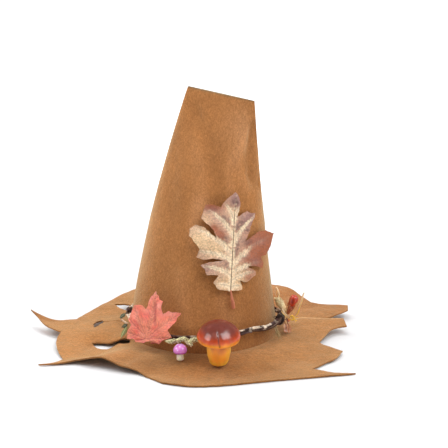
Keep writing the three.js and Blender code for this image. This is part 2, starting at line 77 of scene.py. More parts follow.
# The small mushroom's cap stands at this place from the crown's axis, so its box gives the axis.
SMALL_CAP_PLACE = (-26.0, -113.0)
low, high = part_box("small_mushroom_cap")
AXIS_X = (low.x + high.x) / 2 - SMALL_CAP_PLACE[0] * MM
AXIS_Y = (low.y + high.y) / 2 - SMALL_CAP_PLACE[1] * MM


# ---- Small helpers --------------------------------------------------------------------------

def place(points):
    """Millimetres from the crown's axis to metres in the frame."""
    points = np.asarray(points, float).reshape(-1, 3) * MM
    return points + np.array([AXIS_X, AXIS_Y, 0.0])


def smooth(start, end, value):
    """A smooth step, 0 at start and 1 at end."""
    t = np.clip((np.asarray(value, float) - start) / (end - start), 0, 1)
    return t * t * (3 - 2 * t)


def lerp(a, b, t):
    """The value a part t of the way from a to b."""
    return a + (b - a) * t


def bell(distance, width):
    """A smooth hill, 1 where the distance is nothing and gone beyond about twice the width."""
    return np.exp(-(distance / width) ** 2)


def unit(v):
    """Each vector, made one long."""
    v = np.asarray(v, float)
    return v / np.maximum(np.linalg.norm(v, axis=-1, keepdims=True), 1e-12)


def wobble(points, scale, seed=0.0):
    """Smooth noise from about -1 to 1 at each point, with features of about `scale` mm."""
    return np.array([noise.noise(Vector((p[0] / scale + seed, p[1] / scale, p[2] / scale)))
                     for p in np.asarray(points, float).reshape(-1, 3)]) * 1.6


def patches(x, y, spots):
    """The sum of smooth patches. Each is its strength, its middle and its two half widths."""
    return sum(strong * bell(x - cx, rx) * bell(y - cy, ry) for strong, cx, cy, rx, ry in spots)


def flat_points(x, y=None):
    """Points of a plane as points in space."""
    pairs = x if y is None else np.column_stack([x, y])
    return np.column_stack([pairs, np.zeros(len(pairs))])


def lean_right(points, angle):
    """The points turned about the y axis, so that what is above moves to the right."""
    x, y, z = np.asarray(points, float).T
    c, s = math.cos(angle), math.sin(angle)
    return np.stack([x * c + z * s, y, -x * s + z * c], -1)


def srgb(r, g, b):
    """An 8-bit colour as linear light."""
    c = np.array([r, g, b], float) / 255
    return np.where(c <= 0.04045, c / 12.92, ((c + 0.055) / 1.055) ** 2.4)


def mix(a, b, t):
    """Colours between a and b, one for each value of t."""
    t = np.asarray(t, float)[..., None]
    return np.asarray(a) * (1 - t) + np.asarray(b) * t


def catmull(points, steps, closed=False):
    """A smooth curve through the points."""
    p = np.asarray(points, float)
    n = len(p)
    out = []
    for i in range(n if closed else n - 1):
        if closed:
            a, b, c, d = p[(i - 1) % n], p[i], p[(i + 1) % n], p[(i + 2) % n]
        else:
            a, b, c, d = p[max(i - 1, 0)], p[i], p[i + 1], p[min(i + 2, n - 1)]
        for k in range(steps):
            t = k / steps
            out.append(0.5 * (2 * b + (c - a) * t + (2 * a - 5 * b + 4 * c - d) * t * t
                              + (3 * b - a - 3 * c + d) * t ** 3))
    if not closed:
        out.append(p[-1])
    return np.array(out)


# ---- Materials ------------------------------------------------------------------------------

def set_inputs(node, values):
    """Set a node's inputs by name."""
    for name, value in values.items():
        node.inputs[name].default_value = value


def map_range(tree, value, low, high, start=0.0, end=1.0, ease=False):
    """The value, mapped from start..end to low..high by a node."""
    node = tree.nodes.new("ShaderNodeMapRange")
    node.interpolation_type = "SMOOTHSTEP" if ease else "LINEAR"
    set_inputs(node, {"From Min": start, "From Max": end, "To Min": low, "To Max": high})
    tree.links.new(value, node.inputs["Value"])
    return node.outputs["Result"]


def pattern(tree, size, stretch):
    """Noise with features of size mm, and its pattern scaled along x, y and z by stretch."""
    where = tree.nodes.new("ShaderNodeTexCoord")
    mapping = tree.nodes.new("ShaderNodeMapping")
    texture = tree.nodes.new("ShaderNodeTexNoise")
    set_inputs(mapping, {"Scale": stretch})
    set_inputs(texture, {"Scale": 1 / (size * MM), "Detail": 3.0, "Roughness": 0.6})
    tree.links.new(where.outputs["Object"], mapping.inputs["Vector"])
    tree.links.new(mapping.outputs["Vector"], texture.inputs["Vector"])
    return texture.outputs["Fac"]


def material(name, roughness=0.6, grain=(), bump=(), sheen=0.0, coat=0.0, through=0.0,
             scatter=0.0, scatter_mm=4.0, specular=0.5):
    """A node material. The colour is the piece's own painted tint, varied by noise.

    grain is a list of (size in mm, strength, stretch) and darkens or lightens the tint. bump is a
    list of (size in mm, height in mm, stretch).
    """
    made = bpy.data.materials.new(name)
    made.use_nodes = True
    tree = made.node_tree
    nodes, links = tree.nodes, tree.links
    shader = nodes["Principled BSDF"]
    tint = nodes.new("ShaderNodeAttribute")
    tint.attribute_name = "tint"
    colour = tint.outputs["Color"]
    for size, strength, stretch in grain:
        varied = map_range(tree, pattern(tree, size, stretch), 1 - strength, 1 + strength, 0.3, 0.7)
        scaled = nodes.new("ShaderNodeVectorMath")
        scaled.operation = "SCALE"
        links.new(colour, scaled.inputs[0])
        links.new(varied, scaled.inputs["Scale"])
        colour = scaled.outputs["Vector"]
    links.new(colour, shader.inputs["Base Color"])

    normal = None
    for size, height, stretch in bump:
        node = nodes.new("ShaderNodeBump")
        set_inputs(node, {"Strength": 1.0, "Distance": height * MM})
        links.new(pattern(tree, size, stretch), node.inputs["Height"])
        if normal is not None:
            links.new(normal, node.inputs["Normal"])
        normal = node.outputs["Normal"]
    if normal is not None:
        links.new(normal, shader.inputs["Normal"])

    rough = map_range(tree, pattern(tree, 6, EVEN), max(roughness - 0.08, 0.03),
                      min(roughness + 0.08, 1.0))
    links.new(rough, shader.inputs["Roughness"])
    set_inputs(shader, {"Specular IOR Level": specular, "Coat Weight": coat, "Coat Roughness": 0.17})
    if scatter:
        set_inputs(shader, {"Subsurface Weight": scatter, "Subsurface Radius": (1.0, 0.45, 0.2),
                            "Subsurface Scale": scatter_mm * MM})
    if sheen:
        set_inputs(shader, {"Sheen Weight": sheen, "Sheen Roughness": 0.45,
                            "Sheen Tint": (1.0, 0.92, 0.6, 1.0)})
    if through:
        behind = nodes.new("ShaderNodeBsdfTranslucent")
        both = nodes.new("ShaderNodeMixShader")
        both.inputs["Fac"].default_value = through
        links.new(colour, behind.inputs["Color"])
        links.new(shader.outputs["BSDF"], both.inputs[1])
        links.new(behind.outputs["BSDF"], both.inputs[2])
        links.new(both.outputs["Shader"], nodes["Material Output"].inputs["Surface"])
    return made


EVEN = (1, 1, 1)
FELT_BUMP = [(7, 0.5, EVEN), (2.4, 0.4, (1, 1, 0.7)), (1.0, 0.25, (1, 1, 0.7)),
             (0.4, 0.1, (1, 1, 0.4))]
CROWN_CLOTH = material(
    "felt_of_the_crown", roughness=0.95, specular=0.12, sheen=0.6, bump=FELT_BUMP,
    grain=[(38, 0.05, EVEN), (9, 0.05, (1, 1, 0.6)), (4.2, 0.07, (1, 1, 0.5)),
           (2.0, 0.18, (1, 1, 0.6)), (0.9, 0.22, (1, 1, 0.5))],
)
BRIM_CLOTH = material(
    "felt_of_the_brim", roughness=0.95, specular=0.12, sheen=0.6, bump=FELT_BUMP,
    grain=[(38, 0.05, EVEN), (11, 0.08, (0.6, 1, 1)), (4.2, 0.12, (0.6, 1, 1)),
           (2.0, 0.23, (0.7, 1, 1)), (1.1, 0.2, EVEN)],
)
OAK_LEAF = material(
    "dried_oak_leaf", roughness=0.55, through=0.12,
    grain=[(3.5, 0.12, EVEN), (1.6, 0.16, EVEN), (0.8, 0.12, EVEN)],
    bump=[(1.2, 0.25, EVEN), (0.5, 0.08, EVEN)],
)
MAPLE_LEAF = material(
    "printed_maple_leaf", roughness=0.6, through=0.1,
    grain=[(9, 0.07, EVEN), (1.3, 0.09, EVEN)], bump=[(1.5, 0.22, EVEN), (0.5, 0.06, EVEN)],
)
BARK = material(
    "vine_bark", roughness=0.75, specular=0.2,
    grain=[(2.5, 0.25, EVEN), (0.6, 0.25, EVEN)], bump=[(1.6, 0.5, EVEN), (0.5, 0.25, EVEN)],
)
STRAW = material(
    "dry_straw", roughness=0.6, through=0.08, specular=0.3,
    grain=[(1.0, 0.12, (1, 1, 0.2)), (0.4, 0.08, EVEN)], bump=[(0.6, 0.12, (1, 1, 0.15))],
)
GREENERY = material(
    "moulded_greenery", roughness=0.5, through=0.12,
    grain=[(2.2, 0.12, EVEN), (0.6, 0.1, EVEN)], bump=[(0.9, 0.12, EVEN)],
)
CAP_WAX = material(
    "glazed_cap", roughness=0.3, coat=0.42, scatter=0.3, scatter_mm=3.0, specular=0.25,
    grain=[(7, 0.1, (1, 1, 0.35)), (1.2, 0.07, EVEN)],
    bump=[(5, 0.25, (1, 1, 0.5)), (0.9, 0.03, EVEN)],
)
STALK_WAX = material(
    "amber_stalk", roughness=0.42, coat=0.15, scatter=0.6, scatter_mm=7.0,
    grain=[(5, 0.08, (1, 1, 0.3)), (0.9, 0.05, EVEN)],
    bump=[(2.5, 0.2, (1, 1, 0.25)), (0.8, 0.04, EVEN)],
)
PETAL = material(
    "thin_petal", roughness=0.35, through=0.45,
    grain=[(2.0, 0.15, EVEN), (0.5, 0.1, EVEN)], bump=[(1.0, 0.15, EVEN)],
)
BERRY_SKIN = material(
    "berry_skin", roughness=0.35, coat=0.3, scatter=0.3, scatter_mm=2.0,
    grain=[(2.4, 0.16, EVEN), (0.7, 0.1, EVEN)], bump=[(1.3, 0.2, EVEN)],
)
DARK_WIRE = material(
    "dark_wrapped_wire", roughness=0.6, specular=0.15,
    grain=[(1.2, 0.3, EVEN)], bump=[(0.5, 0.15, EVEN)],
)
GLUE = material(
    "dried_glue", roughness=0.3, through=0.3, grain=[(2, 0.08, EVEN)], bump=[(1.5, 0.2, EVEN)],
)


# ---- Meshes ---------------------------------------------------------------------------------

def add(name, data):
    """A new object with this data, in the scene."""
    made = bpy.data.objects.new(name, data)
    bpy.context.scene.collection.objects.link(made)
    return made


def piece(name, vertices, faces, tint, finish, body, stands_for=(), slot=None, sharp=50):
    """A mesh piece that rides on a body. tint is one colour, or one for each vertex."""
    mesh = bpy.data.meshes.new(name)
    mesh.from_pydata(place(vertices).tolist(), [], [list(map(int, f)) for f in faces])
    work = bmesh.new()
    work.from_mesh(mesh)
    bmesh.ops.recalc_face_normals(work, faces=work.faces)
    work.to_mesh(mesh)
    work.free()
    mesh.shade_smooth()
    mesh.set_sharp_from_angle(angle=math.radians(sharp))
    colours = np.ones((len(mesh.vertices), 4))
    colours[:, :3] = np.clip(tint, 0, 1)
    layer = mesh.color_attributes.new("tint", "FLOAT_COLOR", "POINT")
    layer.data.foreach_set("color", colours.ravel().astype(np.float32))
    mesh.materials.append(finish)
    made = add(name, mesh)
    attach(made, body)
    if stands_for:
        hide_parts(*([stands_for] if isinstance(stands_for, str) else stands_for))
    return made


class Shell:
    """Vertices, faces and tints of several closed forms that make one piece."""

    def __init__(self):
        self.vertices, self.faces, self.tints, self.count = [], [], [], 0

    def put(self, vertices, faces, tint):
        vertices = np.asarray(vertices, float).reshape(-1, 3)
        self.vertices.append(vertices)
        self.faces += [[i + self.count for i in f] for f in faces]
        self.tints.append(np.broadcast_to(np.asarray(tint, float), vertices.shape))
        self.count += len(vertices)

    def finish(self, name, *args, **kwargs):
        return piece(name, np.concatenate(self.vertices), self.faces,
                     np.concatenate(self.tints), *args, **kwargs)


def thick(over, under, faces, rims, bulge):
    """A closed sheet from its two sides, with a rounded rim. Each rim is a loop of indices."""
    count = len(over)
    vertices = [over, under]
    made = [list(f) for f in faces] + [[i + count for i in reversed(f)] for f in faces]
    base = 2 * count
    for rim in rims:
        rim = np.asarray(rim)
        along = unit(over[np.roll(rim, -1)] - over[np.roll(rim, 1)])
        up = unit(over[rim] - under[rim])
        out = unit(np.cross(along, up))
        vertices.append((over[rim] + under[rim]) / 2 + out * bulge)
        n = len(rim)
        for k in range(n):
            m = (k + 1) % n
            a, b = int(rim[k]), int(rim[m])
            made.append([a, base + k, base + m, b])
            made.append([base + k, a + count, b + count, base + m])
        base += n
    return np.concatenate(vertices), made


def ring_faces(rings, sides):
    """The faces between rings of vertices, and then one across each end."""
    faces = [[i * sides + k, i * sides + (k + 1) % sides, (i + 1) * sides + (k + 1) % sides,
              (i + 1) * sides + k] for i in range(rings - 1) for k in range(sides)]
    return faces + [list(range(sides))[::-1], [(rings - 1) * sides + k for k in range(sides)]]


def sheet_area(corners, triangles):
    """The area of one side of a sheet, in square metres."""
    a, b, c = (corners[np.array(triangles)[:, k]] for k in range(3))
    return 0.5 * float(np.linalg.norm(np.cross(b - a, c - a), axis=-1).sum()) * MM * MM


def tube(route, radius, sides=10, tip=0.35):
    """A round tube with rounded ends along the route. radius is one value, or one a station."""
    route = np.asarray(route, float)
    n = len(route)
    radii = np.broadcast_to(np.asarray(radius, float), (n,)).copy()
    along = unit(np.gradient(route, axis=0))
    side = np.cross(along[0], [0.0, 0.0, 1.0])
    if np.linalg.norm(side) < 0.2:
        side = np.cross(along[0], [1.0, 0.0, 0.0])
    side = unit(side)
    rings = []
    angles = np.linspace(0, 2 * math.pi, sides, endpoint=False)
    for i in range(n):
        side = unit(side - along[i] * np.dot(side, along[i]))
        other = np.cross(along[i], side)
        rings.append(route[i] + radii[i] * (np.cos(angles)[:, None] * side
                                            + np.sin(angles)[:, None] * other))
        if i in (0, n - 1):
            end = -1 if i == 0 else 1
            cap = route[i] + end * tip * radii[i] * along[i] + 0.55 * (rings[-1] - route[i])
            rings.insert(0, cap) if i == 0 else rings.append(cap)
    return np.concatenate(rings), ring_faces(len(rings), sides)


def simple_tube(name, route, radius, tint, finish, body, node=(), slot=None, steps=8, sides=12,
                varied=0.0):
    """A round stem or wire. radius is one value, or a few that are spread along the route."""
    line = catmull(route, steps)
    radii = np.interp(np.linspace(0, 1, len(line)), np.linspace(0, 1, np.size(radius)),
                      np.atleast_1d(radius))
    vertices, faces = tube(line, radii, sides)
    colours = np.asarray(tint) * (1 + varied * wobble(vertices, 5.0, 2.0))[:, None]
    return piece(name, vertices, faces, colours, finish, body, node, slot)


def turned(profile, sides=48, steps=6):
    """A smooth turned form about a vertical axis, from a few [radius, height] pairs."""
    line = catmull(np.array(profile, float), steps)
    line[:, 0] = np.maximum(line[:, 0], 0)
    rows = line[1:-1]
    angles = np.linspace(0, 2 * math.pi, sides, endpoint=False)
    ring = np.stack([np.cos(angles), np.sin(angles)], -1)
    body = np.array([[r * c, r * s, z] for r, z in rows for c, s in ring])
    ends = np.array([[0, 0, line[0, 1]], [0, 0, line[-1, 1]]])
    faces = ring_faces(len(rows), sides)[:-2]
    last = (len(rows) - 1) * sides
    for k in range(sides):
        m = (k + 1) % sides
        faces += [[len(body), m, k], [len(body) + 1, last + k, last + m]]
    return np.concatenate([body, ends]), faces


def frame_at(origin, up, facing):
    """Rows x, y, z of a frame with y up the leaf and z out of its face, and its origin."""
    y = unit(up)
    z = unit(np.asarray(facing, float) - y * np.dot(facing, y))
    return np.array([np.cross(y, z), y, z]), np.asarray(origin, float)


def in_frame(points, axes_origin):
    """Points of a leaf's own frame, put where the leaf is."""
    axes, origin = axes_origin
    return np.asarray(points, float) @ axes + origin


def inside(points, loops):
    """Even-odd test of points against closed loops."""
    hit = np.zeros(len(points), bool)
    x, y = points[:, 0], points[:, 1]
    for loop in loops:
        for (x0, y0), (x1, y1) in zip(loop, np.roll(loop, -1, axis=0)):
            if y0 == y1:
                continue
            crosses = (y0 > y) != (y1 > y)
            hit ^= crosses & (x < (x1 - x0) * (y - y0) / (y1 - y0) + x0)
    return hit


def push_about(loop, scale, seed, other_seed):
    """A small uneven push for each point of a cut edge."""
    flat = flat_points(loop)
    return np.column_stack([wobble(flat, scale, seed), wobble(flat, scale, other_seed)])


def even_spacing(loop, spacing):
    """The same closed loop with its long edges cut into even pieces."""
    out = []
    for a, b in zip(loop, np.roll(loop, -1, axis=0)):
        cuts = max(1, round(float(np.linalg.norm(b - a)) / spacing))
        out += [a + (b - a) * k / cuts for k in range(cuts)]
    return np.array(out)


def flat_sheet(loops, spacing):
    """An even triangle mesh of the area inside the first loop and outside the others."""
    edge = np.concatenate(loops)
    low2, high2 = edge.min(0), edge.max(0)
    step = spacing * math.sqrt(3) / 2
    grid = np.array([(x + (row % 2) * spacing / 2, y)
                     for row, y in enumerate(np.arange(low2[1], high2[1], step))
                     for x in np.arange(low2[0], high2[0], spacing)])
    grid = grid[inside(grid, loops)]
    keep = np.ones(len(grid), bool)
    for start in range(0, len(edge), 200):
        part = edge[start:start + 200]
        gaps = np.linalg.norm(grid[:, None] - part[None], axis=-1).min(1)
        keep &= gaps > 0.6 * spacing
    points = np.concatenate([edge, grid[keep]])
    edges, first = [], 0
    for loop in loops:
        n = len(loop)
        edges += [(first + k, first + (k + 1) % n) for k in range(n)]
        first += n
    made = delaunay_2d_cdt([Vector(p) for p in points], edges, [], 0, 1e-6)
    corners = np.array([list(v) for v in made[0]])
    triangles = np.array([f for f in made[2]])
    triangles = triangles[inside(corners[triangles].mean(1), loops)]
    a, b, c = (corners[triangles[:, k]] for k in range(3))
    turned_over = np.cross(b - a, c - a) < 0
    triangles[turned_over] = triangles[turned_over][:, ::-1]
    used = {}
    for tri in triangles:
        for k in range(3):
            used[(int(tri[k]), int(tri[(k + 1) % 3]))] = True
    border = {a: b for (a, b) in used if (b, a) not in used}
    rims = []
    while border:
        start, nxt = border.popitem()
        rim = [start]
        while nxt != start and nxt in border:
            rim.append(nxt)
            nxt = border.pop(nxt)
        rims.append(rim)
    return corners, triangles.tolist(), rims


# ---- Crown ----------------------------------------------------------------------------------

PANEL_WIDTH = 250  # across a panel at the height where its folds are


def crease(degrees, rise, line, width):
    """How near a soft fold is, 0 to 1. line is (degrees from the left seam, rise) pairs."""
    def flat(t, r):
        half = lerp(HEAD_RADIUS, TOP_HALF_LENGTH, r)
        return np.stack([-np.cos(np.radians(t)) * half, r * CROWN_HEIGHT], -1)

    line = flat(*np.array(line, float).T)
    here = flat(degrees, rise)
    nearest = np.full(here.shape[:-1], 1e9)
    for a, b in zip(line[:-1], line[1:]):
        t = np.clip(((here - a) @ (b - a)) / np.dot(b - a, b - a), 0, 1)
        nearest = np.minimum(nearest, np.linalg.norm(here - a - t[..., None] * (b - a), axis=-1))
    return bell(nearest, width)


# Each fold: its line, how far it moves the wall in, its half width, and the light or shade painted
# along it (above zero is a paler painted highlight, below zero a darker painted shade).
FRONT_CREASES = [
    ([(48, 0.93), (62, 0.885), (80, 0.83), (94, 0.77), (103, 0.69), (106, 0.6), (107, 0.5)],
     4.4, 9, -0.06),
    ([(140, 0.965), (136, 0.9), (131, 0.815), (119, 0.753), (113, 0.70), (118, 0.6)], -3.0, 7, 0.05),
    ([(166, 0.90), (153, 0.84), (148, 0.77), (150, 0.70), (160, 0.65)], 3.6, 6, -0.1),
    ([(136, 0.86), (131, 0.80), (126, 0.755), (130, 0.70), (139, 0.64)], -1.0, 7, 0.04),
    ([(72, 0.84), (80, 0.72), (88, 0.57), (84, 0.45)], -2.2, 12, 0.035),
    ([(40, 0.74), (46, 0.62), (54, 0.5)], 2.2, 12, -0.04),
    ([(74, 0.30), (76, 0.2), (77, 0.1)], -2.0, 9, 0.04),
    ([(98, 0.30), (100, 0.18), (101, 0.06)], 1.8, 14, -0.03),
    ([(60, 0.42), (56, 0.3), (54, 0.16)], 1.6, 12, -0.03),
    ([(86, 0.56), (88, 0.47), (90, 0.38)], 0.0, 13, 0.07),
    ([(109, 0.2), (111, 0.12)], 0.0, 15, 0.06),
    ([(54, 0.64), (57, 0.5)], 0.0, 16, -0.05),
]
BACK_CREASES = [
    ([(60, 0.9), (70, 0.75), (66, 0.6)], 3.4, 11, -0.04),
    ([(118, 0.85), (110, 0.7), (116, 0.5)], 3.0, 12, -0.03),
    ([(92, 0.6), (88, 0.4), (90, 0.25)], -2.4, 15, 0.03),
    ([(140, 0.45), (132, 0.3)], 2.0, 14, -0.03),
]


def crown_point(turn, rise, inset, shift):
    """A point of the crown's wall: round at the foot, a flat turned fold at the top."""
    half = lerp(HEAD_RADIUS, TOP_HALF_LENGTH, rise)
    along = (half + CROWN_BULGE * np.sin(math.pi * rise) - inset) * np.cos(turn)
    across = (lerp(HEAD_RADIUS, TOP_HALF_DEPTH, rise) - inset) * np.sin(turn) + shift
    twist = -TOP_TURN * rise
    return np.stack([
        along * np.cos(twist) - across * np.sin(twist) + TOP_LEAN * rise ** LEAN_POWER,
        along * np.sin(twist) + across * np.cos(twist),
        SEAM_HEIGHT + SEAM_GAP + CROWN_HEIGHT * rise - TOP_TILT * rise * np.cos(turn),
    ], -1)


def crown_panel(name, node, first_turn, shift, creases, seed):
    """One of the crown's two felt panels, with its folds and its painted light and shade."""
    columns, rows = 110, 150
    grid = np.meshgrid(np.linspace(0, 1, columns + 1), np.linspace(0, 1, rows + 1))
    part, rise = grid[0].ravel(), grid[1].ravel()
    turn, degrees = first_turn + math.pi * part, 180 * part
    flat = flat_points(PANEL_WIDTH * part, CROWN_HEIGHT * rise)
    seam_gap = PANEL_WIDTH * np.minimum(part, 1 - part)
    fade = smooth(0, 0.04, rise) * smooth(1, 0.9, rise)
    fade = fade * smooth(0, 0.05, part) * smooth(1, 0.95, part)
    dent, painted_fold_light = 0, 0
    for line, depth, width, fold_lighting in creases:
        near = crease(degrees, rise, line, width)
        dent, painted_fold_light = dent + depth * near, painted_fold_light + fold_lighting * near
    dent = (dent + 0.5 * wobble(flat, 45, seed) + 0.18 * wobble(flat, 14, seed + 9)) * fade
    seam = 0.2 * bell(seam_gap, 2.6) * smooth(1, 0.97, rise)
    over = crown_point(turn, rise, dent - seam, shift)
    under = crown_point(turn, rise, dent + FELT, shift)
    wide = columns + 1
    faces = [[r * wide + c, r * wide + c + 1, (r + 1) * wide + c + 1, (r + 1) * wide + c]
             for r in range(rows) for c in range(columns)]
    rim = ([c for c in range(columns)] + [r * wide + columns for r in range(rows)]
           + [rows * wide + c for c in range(columns, 0, -1)] + [r * wide for r in range(rows, 0, -1)])
    vertices, faces = thick(over, under, faces, [rim], 0.35)

    base, painted_fold_highlight, cut = srgb(164, 108, 60), srgb(186, 134, 92), srgb(112, 96, 70)
    # Painted light and shade along the folds: paler where a fold is painted lit, darker where it is
    # painted shaded.
    tint = mix(base, painted_fold_highlight, np.clip(4.5 * painted_fold_light * fade, 0, 0.45))
    edge = np.clip(bell(seam_gap, 1.6) + bell((1 - rise) * CROWN_HEIGHT, 1.4), 0, 1)
    tint = mix(tint, cut, 0.6 * edge)
    # Painted shade and light: darker towards the foot and paler towards the top, over an uneven
    # mottle.
    mottle_and_height_shade = 0.05 * (wobble(flat, 60, seed + 3) - smooth(0.42, 0.08, rise) + smooth(0.85, 0.6, rise))
    tint = tint * (1 + painted_fold_light * fade + mottle_and_height_shade)[:, None]
    # Painted shade: low on the right, next to the cluster on the wreath, the felt is darker and
    # browner.
    low_right_shade = (bell(degrees - 142, 20) * smooth(0.4, 0.1, rise)
                 + 1.1 * smooth(152, 168, degrees) * smooth(0.36, 0.16, rise))
    tint = tint * (1 - low_right_shade[:, None] * (0.22, 0.29, 0.42))
    # Painted highlight: the felt is a little paler and pinker towards the top right.
    tint = mix(tint, srgb(196, 142, 98), 0.35 * bell(degrees - 128, 26) * bell(rise - 0.88, 0.10))
    # Painted shade: the inner side is the outer side's colour darkened to 0.92.
    full = np.concatenate([tint, tint * 0.92, np.broadcast_to(cut, (len(rim), 3))])
    made = piece(name, vertices, faces, full, CROWN_CLOTH, "hat", node, "felt")


# ---- Brim -----------------------------------------------------------------------------------

EDGE_HEIGHTS = np.array([
    (-180, 9), (-166, 5), (-153, 0), (-138, 13), (-126, 7), (-113, 0), (-40, 0), (-20, 3), (10, 9),
    (30, 10.5), (42, 14), (57, 21), (75, 18), (95, 12), (115, 18), (130, 17), (145, 14),
    (160, 10.5), (180, 9),
], float)  # (degrees round the brim, height of its underside at the edge)
BEND_START, BEND_END = 97, 156  # the brim droops between these radii
HORN_DIRECTION = math.radians(168)  # the long left spike curls up
HORN_CURL_START, HORN_CURL = 188, 0.0062
DIP_PLACE, DIP_REACH, DIP_DEPTH = (-126, -42), (26, 18), 7  # it sags round its front left slash


def edge_height(degrees):
    """How high the underside of the brim's edge is, round the brim."""
    after = np.clip(np.searchsorted(EDGE_HEIGHTS[:, 0], degrees), 1, len(EDGE_HEIGHTS) - 1)
    a, b = EDGE_HEIGHTS[after - 1], EDGE_HEIGHTS[after]
    return lerp(a[:, 1], b[:, 1], smooth(0, 1, (degrees - a[:, 0]) / (b[:, 0] - a[:, 0])))


def brim_underside(x, y):
    """The height of the brim's underside: level at the crown, drooping outside it."""
    radius, angle = np.hypot(x, y), np.arctan2(y, x)
    curl = HORN_CURL * np.maximum(0, radius - HORN_CURL_START) ** 2
    near_horn = np.maximum(0, np.cos(angle - HORN_DIRECTION)) ** 12
    droop = smooth(BEND_START, BEND_END, radius)
    height = lerp(SEAM_HEIGHT - FELT, edge_height(np.degrees(angle)), droop) + curl * near_horn
    return np.maximum(0, height - patches(x, y, [(DIP_DEPTH, *DIP_PLACE, *DIP_REACH)]))


# The outline's runs, anticlockwise from the long spike at the front right. A run of one point is
# a straight cut, and a longer one is a smooth curve through its points.
BRIM_RUNS = [
    [(158, -129)], [(132, -118)], [(150, -98), (163, -86), (174, -62)], [(152, -42)], [(147, -33)],
    [(157, -12), (168, 6), (187, 15)], [(185, 36)], [(116, 38)], [(116, 40)], [(168, 51)],
    [(195, 78)], [(197, 96)], [(180, 100), (162, 101), (147, 106)],
    [(137, 123), (129, 138), (116, 152), (97, 160)], [(72, 174)], [(46, 192)], [(36, 172)],
    [(10, 184), (-18, 187)], [(-30, 158)], [(-52, 190)], [(-66, 178), (-82, 164), (-102, 147)],
    [(-119, 122), (-138, 93), (-156, 66), (-169, 38)], [(-184, 36), (-198, 35), (-230, 42)],
    [(-219, 31), (-206, 12), (-184, -6)], [(-186, -34), (-180, -62), (-170, -84)], [(-181, -97)],
    [(-200, -104)], [(-176, -100), (-151, -98), (-136, -106), (-122, -109)],
    [(-107, -118), (-89, -127), (-73, -133), (-45, -160)],
    [(-14, -170), (22, -168), (67, -157), (101, -149)], [(135, -144)],
]
BRIM_START = (183, -131)
BRIM_SLITS = [
    [(-124, 90), (-115, 75), (-104, 66), (-92, 58), (-84, 57), (-90, 70), (-100, 84), (-110, 91)],
    [(-145, 20), (-141, 28.5), (-134.5, 32.5), (-131, 28.3), (-120, 27.4), (-107, 24.2), (-107, 22.8),
     (-120, 25.8), (-131, 26.6), (-134, 22), (-138, 12), (-142.5, 6)],
    [(-141.5, -32), (-138, -38.5), (-133, -46), (-127, -49.5), (-120.5, -49.5), (-115.5, -48.5),
     (-111, -46), (-105.7, -44.5), (-98, -52), (-92, -53), (-91, -45), (-91, -41.5), (-99, -36.6),
     (-109, -36), (-117, -35.5), (-127, -31.5), (-135, -30.3)],
]


def brim_loops(spacing):
    """The cut edges of the brim: its outline, its hole and its slashes, a little ragged."""
    here, outline = np.array(BRIM_START, float), []
    for run in BRIM_RUNS:
        knots = np.array([here, *run], float)
        outline += list(catmull(knots, 8)[:-1] if len(run) > 1 else knots[:-1])
        here = knots[-1]
    outline = np.array(outline)
    angles = np.linspace(0, -2 * math.pi, 180, endpoint=False)
    hole = BRIM_HOLE_RADIUS * np.stack([np.cos(angles), np.sin(angles)], -1)
    loops = [even_spacing(outline, spacing), hole]
    loops += [even_spacing(np.array(slit, float), spacing * 0.7) for slit in BRIM_SLITS]
    ragged = [loop + 0.35 * push_about(loop, 3.0, 5.0 + k, 45.0 + k) for k, loop in enumerate(loops)]
    return [ragged[0], hole, *ragged[2:]]


def brim_piece():
    spacing = 3.2
    corners, faces, rims = flat_sheet(brim_loops(spacing), spacing)
    x, y = corners.T
    flat = flat_points(corners)
    wave = 0.7 * wobble(flat, 38, 2.0) + 0.25 * wobble(flat, 13, 7.0)
    wave = wave * smooth(98, 125, np.hypot(x, y))
    # One lip of each slash is lifted a little.
    lips = patches(x, y, [(1.6, -112, 30, 16, 16), (2.6, -104, -32, 13, 13), (1.2, -98, 84, 14, 14)])
    # At the right, the front flap laps a little over the back one along their straight cut.
    lap = smooth(116, 132, x) * np.where(y > 39, -1.2 * smooth(62, 40, y), 3.0 * smooth(12, 38, y))
    under = np.maximum(brim_underside(x, y) + wave + lips + lap, 0.0)
    over = np.column_stack([x, y, under + FELT])
    vertices, made_faces = thick(over, np.column_stack([x, y, under]), faces, rims, 0.4)

    base, pale = srgb(168, 113, 64), srgb(236, 200, 150)
    tint = base * (1 + 0.05 * wobble(flat, 70, 11.0) + 0.03 * wobble(flat, 22, 4.0))[:, None]
    # Painted shadow round the mushrooms and along the very front, darker and browner towards the
    # front, and painted shade darkening and browning the back right and the left spike.
    painted_shadow = patches(x, y, [(0.28, -50, -112, 36, 17)]) + 0.07 * smooth(-90, -120, y)
    front = smooth(-70, -100, y) * smooth(-60, -20, x) * smooth(110, 70, x)
    spike = smooth(-185, -200, x) * smooth(20, 30, y)
    back = np.clip(smooth(30, 70, y) * smooth(20, 70, x) + spike, 0, 1)
    back = back + 0.5 * smooth(70, 100, y) * smooth(60, 100, x)
    tint = tint * (1 - painted_shadow)[:, None] * (1 - front[:, None] * (0.05, 0.10, 0.20))
    tint = tint * (1 - back[:, None] * (0.14, 0.26, 0.40))
    # The cut at the right is torn, and paler inside.
    torn = 0.8 * smooth(112, 118, x) * bell(y - 37.6, 1.6)
    tint = mix(tint, pale, torn)
    rim = np.concatenate(rims)
    # Painted shade: the underside is darkened to 0.9, and the cut rim to 0.72 of the felt's colour
    # where it is not torn.
    full = np.concatenate([tint, tint * 0.9, mix(base * 0.72, pale, torn[rim])])
    made = piece("brim_felt", vertices, made_faces, full, BRIM_CLOTH, "hat", "brim", "felt")


# ---- Leaves ---------------------------------------------------------------------------------

